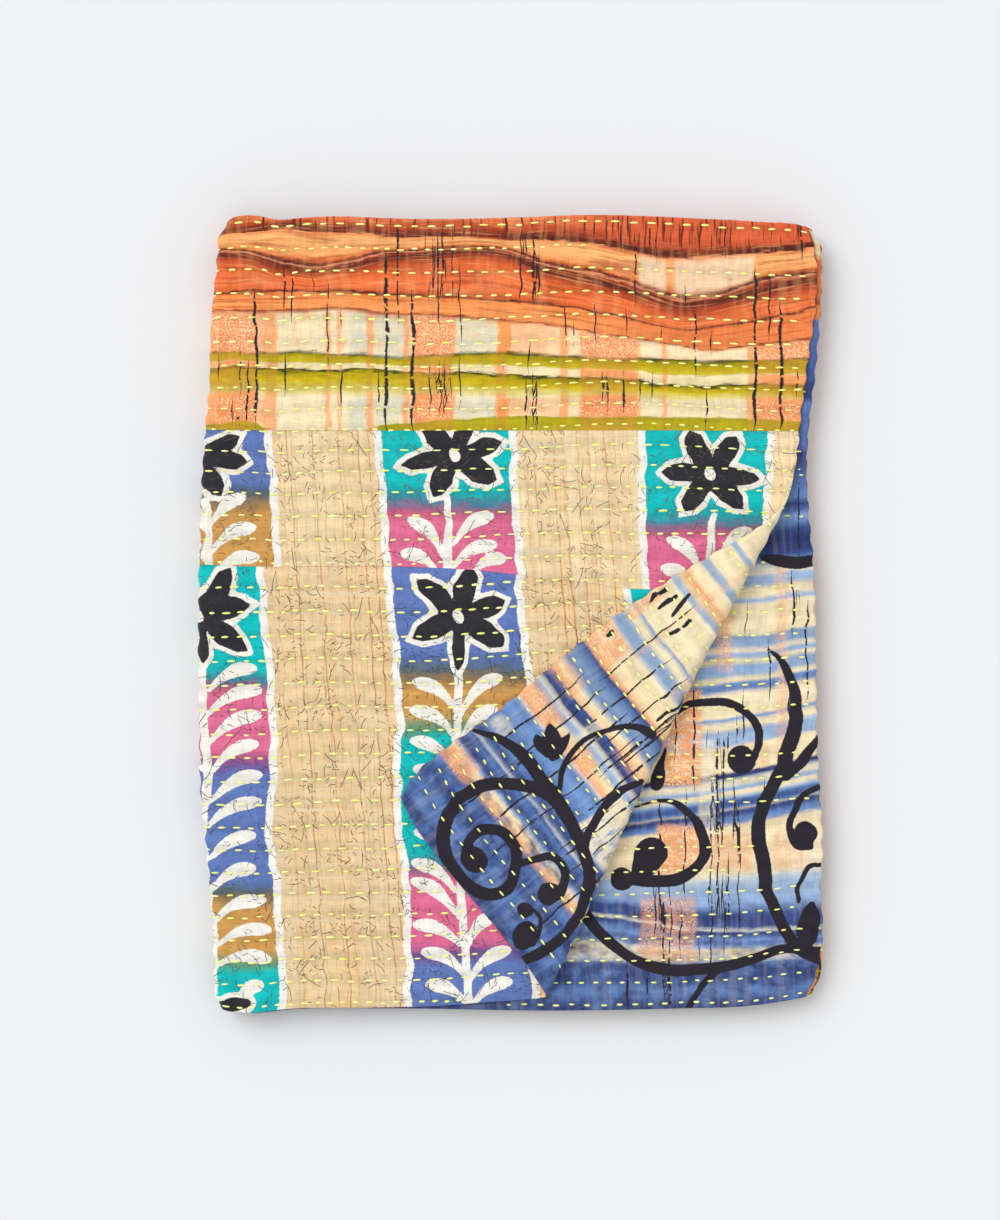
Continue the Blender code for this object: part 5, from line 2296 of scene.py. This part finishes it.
@dataclass(frozen=True)
class Embroidery(WornCotton):
    """Six-strand cotton floss in a bright lemon, a little glossier than the cloth round it."""

    name: str = "mercerised_cotton_floss"
    roughness: float = 0.6
    specular: float = 0.3
    sheen: float = 0.3
    ior: float = 1.5

    def dress(self, tree: Tree, shader: Node) -> None:
        """Colours the floss, a little lighter or deeper from stitch to stitch.

        Args:
            tree: the node tree.
            shader: its shader.
        """
        lemons = ((0.0, "#f2f87c"), (0.5, "#f7fc90"), (1.0, "#fbfea8"))
        colour = colours_along(tree, field_of(tree, "tint"), (0, 1), lemons)
        tree.links.new(colour.outputs[0], shader.inputs["Base Color"])


@dataclass(frozen=True)
class PlainPaper:
    """Smooth pale paper under the quilt, with no gloss."""

    name: str = "matt_backdrop_paper"
    colour: str = "#e6e7e7"
    roughness: float = 0.95
    specular: float = 0.1

    def build(self) -> bpy.types.Material:
        """Makes the material.

        Returns:
            The material.
        """
        material, shader = new_material(self.name, self.roughness, self.specular)
        shader.inputs["Base Color"].default_value = linear(self.colour)
        return material


CORNER_STRIPES = (
    (
        (0, "#33477c"), (9, "#5c7cb4"), (21, "#4a69a2"), (27, "#33477c"), (36, "#3c5590"),
        (41, "#4e70aa"), (46, "#3c5590"), (48, "#e9a06c"), (54, "#ecc899"), (59, "#e9d4a8"),
        (61, "#8ea8cc"), (64, "#3c5590"), (66, "#34477c"), (73, "#4e70aa"), (76, "#34477c"),
        (78, "#d8dcdc"), (80, "#34477c"), (85, "#3c5590"), (88, "#5f80b6"), (99, "#4e70aa"),
        (109, "#6d90c2"), (119, "#5f80b6"), (121, "#c3cfd4"), (125, "#ec9c66"), (130, "#ecd0a0"),
        (135, "#ecd8b0"), (137, "#8ea8cc"), (142, "#9ab0cc"), (144, "#e9dab4"), (147, "#2e3f74"),
        (155, "#3c5590"),
    ),
    (
        (156, "#ecb884"), (164, "#e9d9b0"), (168, "#96abc0"), (171, "#6c86b0"), (175, "#7f97b8"),
        (183, "#56719e"), (188, "#33477c"), (190, "#e9a674"), (194, "#ecd0a0"), (212, "#e9d9b0"),
        (215, "#e9d9b0"), (216, "#96abc0"), (219, "#7f97b8"), (225, "#8fa6c0"), (227, "#9fb2c2"),
        (228, "#e9d9b0"), (234, "#e9d9b0"), (235, "#7f97b8"), (238, "#7f97b8"), (239, "#e9d9b0"),
        (273, "#ecdcb4"), (274, "#96abc0"), (278, "#96abc0"), (280, "#ecc690"), (286, "#e8a874"),
        (289, "#ecd0a0"), (295, "#e9d9b0"),
    ),
    (
        (296, "#e9d9b0"), (299, "#e9d9b0"), (300, "#96abc0"), (305, "#a3b4c2"), (307, "#e9d9b0"),
        (324, "#ecd8ac"), (325, "#96abc0"), (329, "#96abc0"), (330, "#e9d9b0"), (411, "#e9d9b0"),
        (442, "#34477c"),
    ),
)
INNER_STRIPES = (
    (
        (0, "#2b3866"), (8, "#44598c"), (16, "#5672a4"), (24, "#394f86"), (37, "#303f70"),
        (39, "#7a8fb4"), (41, "#d8d0b8"), (46, "#e6dcc2"), (49, "#c9b898"), (54, "#dfcfae"),
        (57, "#8ea8cc"), (62, "#3c5590"), (65, "#6d88b8"), (69, "#5f80b6"), (72, "#34477c"),
        (76, "#34477c"), (77, "#e8e2d2"), (79, "#34477c"), (84, "#2e3d74"), (88, "#3c5590"),
        (90, "#7f9bc6"), (93, "#8ea8cc"), (103, "#9cb4cc"), (107, "#b4c2c8"), (109, "#e9d9b0"),
        (118, "#e6cfaa"), (126, "#e9d9b0"),
    ),
    (
        (127, "#e9d9b0"), (137, "#e2d0a8"), (138, "#6d88b8"), (141, "#4e70aa"), (143, "#2e3d74"),
        (146, "#34477c"), (149, "#d8ccb0"), (150, "#4e70aa"), (153, "#34477c"), (158, "#4e70aa"),
        (161, "#a8bcd0"), (164, "#e9d9b0"), (167, "#e9d9b0"), (168, "#8ea8cc"), (171, "#9ab0cc"),
        (174, "#dcd2b4"), (179, "#d8ccb0"), (181, "#7f93b8"), (182, "#2a3464"), (186, "#2a3464"),
        (187, "#e9d9b0"), (207, "#ead6ac"), (209, "#8ea8cc"), (213, "#9ab4d0"), (220, "#8ea8cc"),
        (221, "#e9d9b0"),
    ),
    (
        (222, "#e9d9b0"), (227, "#e9d9b0"), (228, "#6d90c2"), (230, "#6d90c2"), (231, "#e9d9b0"),
        (250, "#ebdcb6"), (252, "#6d88b8"), (255, "#5676ae"), (258, "#6d90c2"), (260, "#e6d6ae"),
        (262, "#e0d2b0"), (264, "#8a9fb8"), (269, "#7f9fca"), (273, "#8fa8c4"), (275, "#e9d9b0"),
        (277, "#e9d9b0"), (279, "#8ea8cc"), (282, "#8ea8cc"), (284, "#e9d9b0"), (285, "#e6d6ae"),
        (287, "#7f9bc0"), (293, "#86a0c0"), (294, "#86a0c0"),
    ),
    (
        (295, "#86a0c0"), (295, "#86a0c0"), (297, "#e9d9b0"), (321, "#e6d6ae"), (322, "#8ea8cc"),
        (325, "#8ea8cc"), (327, "#e9d9b0"), (334, "#e9d9b0"), (336, "#8ea8cc"), (343, "#9ab0c8"),
        (345, "#dcd4b8"), (351, "#c8ccc4"), (354, "#5f80b6"), (359, "#2e3d74"), (371, "#2a3466"),
        (379, "#33477c"), (386, "#6d90c2"), (389, "#7f9fca"), (393, "#4a649c"), (399, "#2a3466"),
        (404, "#5f80b6"), (419, "#4e6aa2"), (431, "#2e3d74"), (436, "#2e3d74"),
        (439, "#4a649c"),
    ),
    (
        (440, "#4a649c"), (466, "#5573aa"), (468, "#2e3d74"), (479, "#2e3d74"), (480, "#3c5590"),
        (501, "#4a649c"), (516, "#5573aa"), (518, "#dc8648"), (525, "#d87a40"), (526, "#4a2418"),
        (531, "#d87a40"), (553, "#d06a36"), (558, "#e8d2a0"), (585, "#ecd8ac"),
    ),
)

# The sub-assemblies


@dataclass
class Piece:
    """What one object of the quilt needs: its place in the frame, and its size as cut cloth."""

    made: bpy.types.Object
    flat: tuple[float, float] | None = None
    with_pieces: list[bpy.types.Object] = field(default_factory=list)
    rests_on: list[str] = field(default_factory=list)

    def settle_in(self) -> None:
        """Joins the object to the frame."""
        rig.ride(self.made, "root")
        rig.replaces(self.made, "quilt")
        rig.slot(self.made, "quilted_cotton")
        triangles = sum(len(face.vertices) - 2 for face in self.made.data.polygons)
        LOG.info("%s: %d triangles", self.made.name, triangles)

    def declare(self) -> None:
        """Says which sheet of cloth the object is."""
        if self.flat:
            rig.sheet(
                self.made, flat=self.flat, held="folded",
                rests_on=self.rests_on, with_pieces=self.with_pieces,
            )


@dataclass(frozen=True)
class FaceCloth:
    """The pieced face: two widths of block print, and the ombre width that goes over the fold."""

    sewn: Sewn
    length: float = 1.98
    overlap: float = 2.0  # millimetres that each width runs on under the next
    edge_height: float = 0.35 * MM
    ombre_seam: Curve = Curve(((-248, 146.2), (-80, 145.8), (120, 145.8), (248, 145)))
    block_seam: Curve = Curve(((-248, 39.9), (-222, 38.6), (-95, 38.1), (-27, 35.2), (4, 32),
                               (33, 28.3), (69, 24.4), (91, 20.9), (150, 19.4), (248, 16.2),))

    def build(self) -> list[Piece]:
        """Makes the three widths.

        Returns:
            One piece for each.
        """
        f = self.sewn.folding
        tucked = self.overlap * MM / f.width
        name = "cotton_with_wax_resist_flowers"
        block = BlockPrintedCotton(name + "_1", ground="#dec499", washed=0.03)
        paler = BlockPrintedCotton(name + "_2", washed=0.22, pen="#5d4e3e")
        lower = Weave(self.sewn, Side.FACE, LOWER_BLOCKS)
        rows = lower.between(PAST_HEM / f.width, lower.line(self.block_seam) + tucked)
        at = lower.grid(hem_rows(f), rows)
        first = make_object("lower_block_printed_width", lower.mesh((at, 0.0)), block.build())
        upper = Weave(self.sewn, Side.FACE, UPPER_BLOCKS)
        top = upper.line(self.ombre_seam) + tucked
        at = upper.grid(upper.between(upper.line(self.block_seam), top))
        lifted = upper.over_seam(at, self.edge_height)
        second = make_object("upper_block_printed_width", upper.mesh((at, lifted)), paler.build())
        ombre = Weave(self.sewn, Side.FACE, OmbrePrint())
        at = ombre.grid(ombre.between(ombre.line(self.ombre_seam), 1.0), spread(1, 2, 10)[1:])
        lifted = ombre.over_seam(at, self.edge_height)
        hidden = Weave(self.sewn, Side.FACE, OmbrePrint(), Fineness(10, 10, 12, 8, 24))
        below = hidden.grid(spread(2, 3 - PAST_HEM / f.width, 230), 3 - hem_rows(f)[::-1])
        mesh = self._joined(ombre.mesh((at, lifted)), hidden.mesh((below, 0.0)))
        third = make_object("ombre_width", mesh, OmbreCotton().build())
        return [
            Piece(first, (0.345, self.length)),
            Piece(second, (0.112, self.length)),
            Piece(third, (0.81, self.length)),
        ]

    def _joined(self, seen: Mesh, hidden: Mesh, share: float = 0.8) -> Mesh:
        """Puts two surfaces into one mesh.

        Args:
            seen: the surface that shows.
            hidden: the other one.
            share: how much of the image sheet goes to the first.

        Returns:
            The mesh.
        """
        rest = hidden.sheet * (1, 1 - share) + (0, share)
        return Mesh(
            np.concatenate([seen.points, hidden.points]),
            np.concatenate([seen.faces, hidden.faces + len(seen.points)]),
            {key: np.concatenate([seen.fields[key], hidden.fields[key]]) for key in seen.fields},
            np.concatenate([seen.sheet * (1, share), rest]),
        )


@dataclass(frozen=True)
class ReverseCloth:
    """The reverse, of two widths that meet at the half fold."""

    sewn: Sewn
    length: float = 1.98
    shown: float = 0.64  # the share of the width, from the hem, that the turned corner lays bare

    def build(self) -> list[Piece]:
        """Makes the two widths.

        Returns:
            One piece for each.
        """
        f = self.sewn.folding
        fine = Fineness(137, 12, 8, 6, 12)
        count = int(self.shown * f.width * fine.rows_per_metre)
        near = spread(PAST_HEM / f.width, self.shown, count)
        far = spread(self.shown, 1, 24)[1:]
        upper_rows = (hem_rows(f), near, far, spread(1, 1.5, 4)[1:])
        lower_rows = tuple(3 - rows[::-1] for rows in upper_rows[::-1])
        pieces = []
        for name, prints, stripes, rows in (
            ("reverse_width_with_turned_corner", CORNER_SCROLLS, CORNER_STRIPES, upper_rows),
            ("reverse_width_underneath", INNER_SCROLLS, INNER_STRIPES, lower_rows),
        ):
            weave = Weave(self.sewn, Side.REVERSE, prints, fine)
            cotton = ScrollCotton(f"cotton_with_scrolls_{len(pieces) + 1}", stripes=stripes)
            made = make_object(name, weave.mesh((weave.grid(*rows), 0.0)), cotton.build())
            pieces.append(Piece(made, (0.63, self.length)))
        return pieces


@dataclass(frozen=True)
class Stitching:
    """The rows of running stitch that hold the layers together."""

    floss: Floss

    def build(self) -> list[Piece]:
        """Makes the stitches that show on each side of each half.

        Returns:
            One piece for each.
        """
        finish = Embroidery().build()
        names = {
            (Side.FACE, Half.UPPER): "stitches_on_face",
            (Side.FACE, Half.LOWER): "stitches_on_face_underneath",
            (Side.REVERSE, Half.UPPER): "stitches_on_turned_corner",
            (Side.REVERSE, Half.LOWER): "stitches_on_reverse_underneath",
        }
        meshes = {name: self.floss.mesh(*where) for where, name in names.items()}
        return [Piece(make_object(name, mesh, finish)) for name, mesh in meshes.items()]


@dataclass(frozen=True)
class Studio:
    """A pale paper floor, a large softbox to the left and behind, even fill, and the camera."""

    middle: tuple[float, float] = (-8.3 * MM, 3.6 * MM)
    shown: float = 0.964  # how much the camera takes in from front to back, at the quilt's top
    top: float = 0.03
    distance: float = 2.4
    sky: float = 0.785
    softbox: float = 1.45
    softness: float = 40  # degrees across, seen from the quilt
    floor: float = 12.0  # from the middle to an edge
    from_where: tuple[float, float, float] = (-1.3, 1.1, 2.0)

    def build(self) -> None:
        """Makes the floor, the lights and the camera."""
        floor = bpy.data.meshes.new("floor")
        edge, low = self.floor, CAD_BOX[0][2]
        corners = [(-edge, -edge, low), (edge, -edge, low), (edge, edge, low), (-edge, edge, low)]
        floor.from_pydata(corners, [], [(0, 1, 2, 3)])
        floor.materials.append(PlainPaper().build())
        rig.stage(add_to_scene("floor", floor))
        self._light()
        self._camera()

    def _light(self) -> None:
        """Adds the pale surroundings, and the soft light, which is the same all over the floor."""
        world = bpy.data.worlds.new("studio")
        world.use_nodes = True
        sky = world.node_tree.nodes["Background"].inputs
        sky["Color"].default_value, sky["Strength"].default_value = linear("#fbfcff"), self.sky
        bpy.context.scene.world = world
        bpy.context.scene.view_settings.view_transform = "Standard"
        lamp = bpy.data.lights.new("softbox", "SUN")
        lamp.angle, lamp.energy = math.radians(self.softness), self.softbox
        made = add_to_scene("softbox", lamp)
        made.location = self.from_where
        made.rotation_euler = (-Vector(self.from_where)).to_track_quat("-Z", "Y").to_euler()

    def _camera(self) -> None:
        """Adds the camera, which looks straight down."""
        camera = bpy.data.cameras.new("camera")
        camera.sensor_fit = "VERTICAL"
        camera.lens = camera.sensor_height * self.distance / self.shown
        made = add_to_scene("camera", camera)
        made.location = (*self.middle, self.top + self.distance)
        bpy.context.scene.camera = made


def main() -> None:
    """Builds the quilt and the studio, and notes the quilt's size."""
    logging.basicConfig(level=logging.INFO, format="%(name)s: %(message)s")
    folding = Folding()
    sewn = Sewn(folding, TurnedCorner(folding), Quilting(folding))
    face = FaceCloth(sewn).build()
    reverse = ReverseCloth(sewn).build()
    stitches = Stitching(Floss(sewn)).build()
    for piece in (*face, *reverse, *stitches):
        piece.settle_in()
    for cloth, rows in zip((face[0], face[2], *reverse), stitches):
        cloth.with_pieces = [rows.made]
    for piece in face:
        piece.rests_on = [reverse[0].made.name]
    for piece in (*face, *reverse):
        piece.declare()
    Studio().build()
    boxes = {"cad": CAD_BOX, "visual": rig.bounds()}
    sizes = {name: [list(corner) for corner in box] for name, box in boxes.items()}
    with open("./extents.json", "w", encoding="utf-8") as out:
        json.dump(sizes, out)
    LOG.info("size: %s", sizes)


if __name__ == "__main__":
    main()
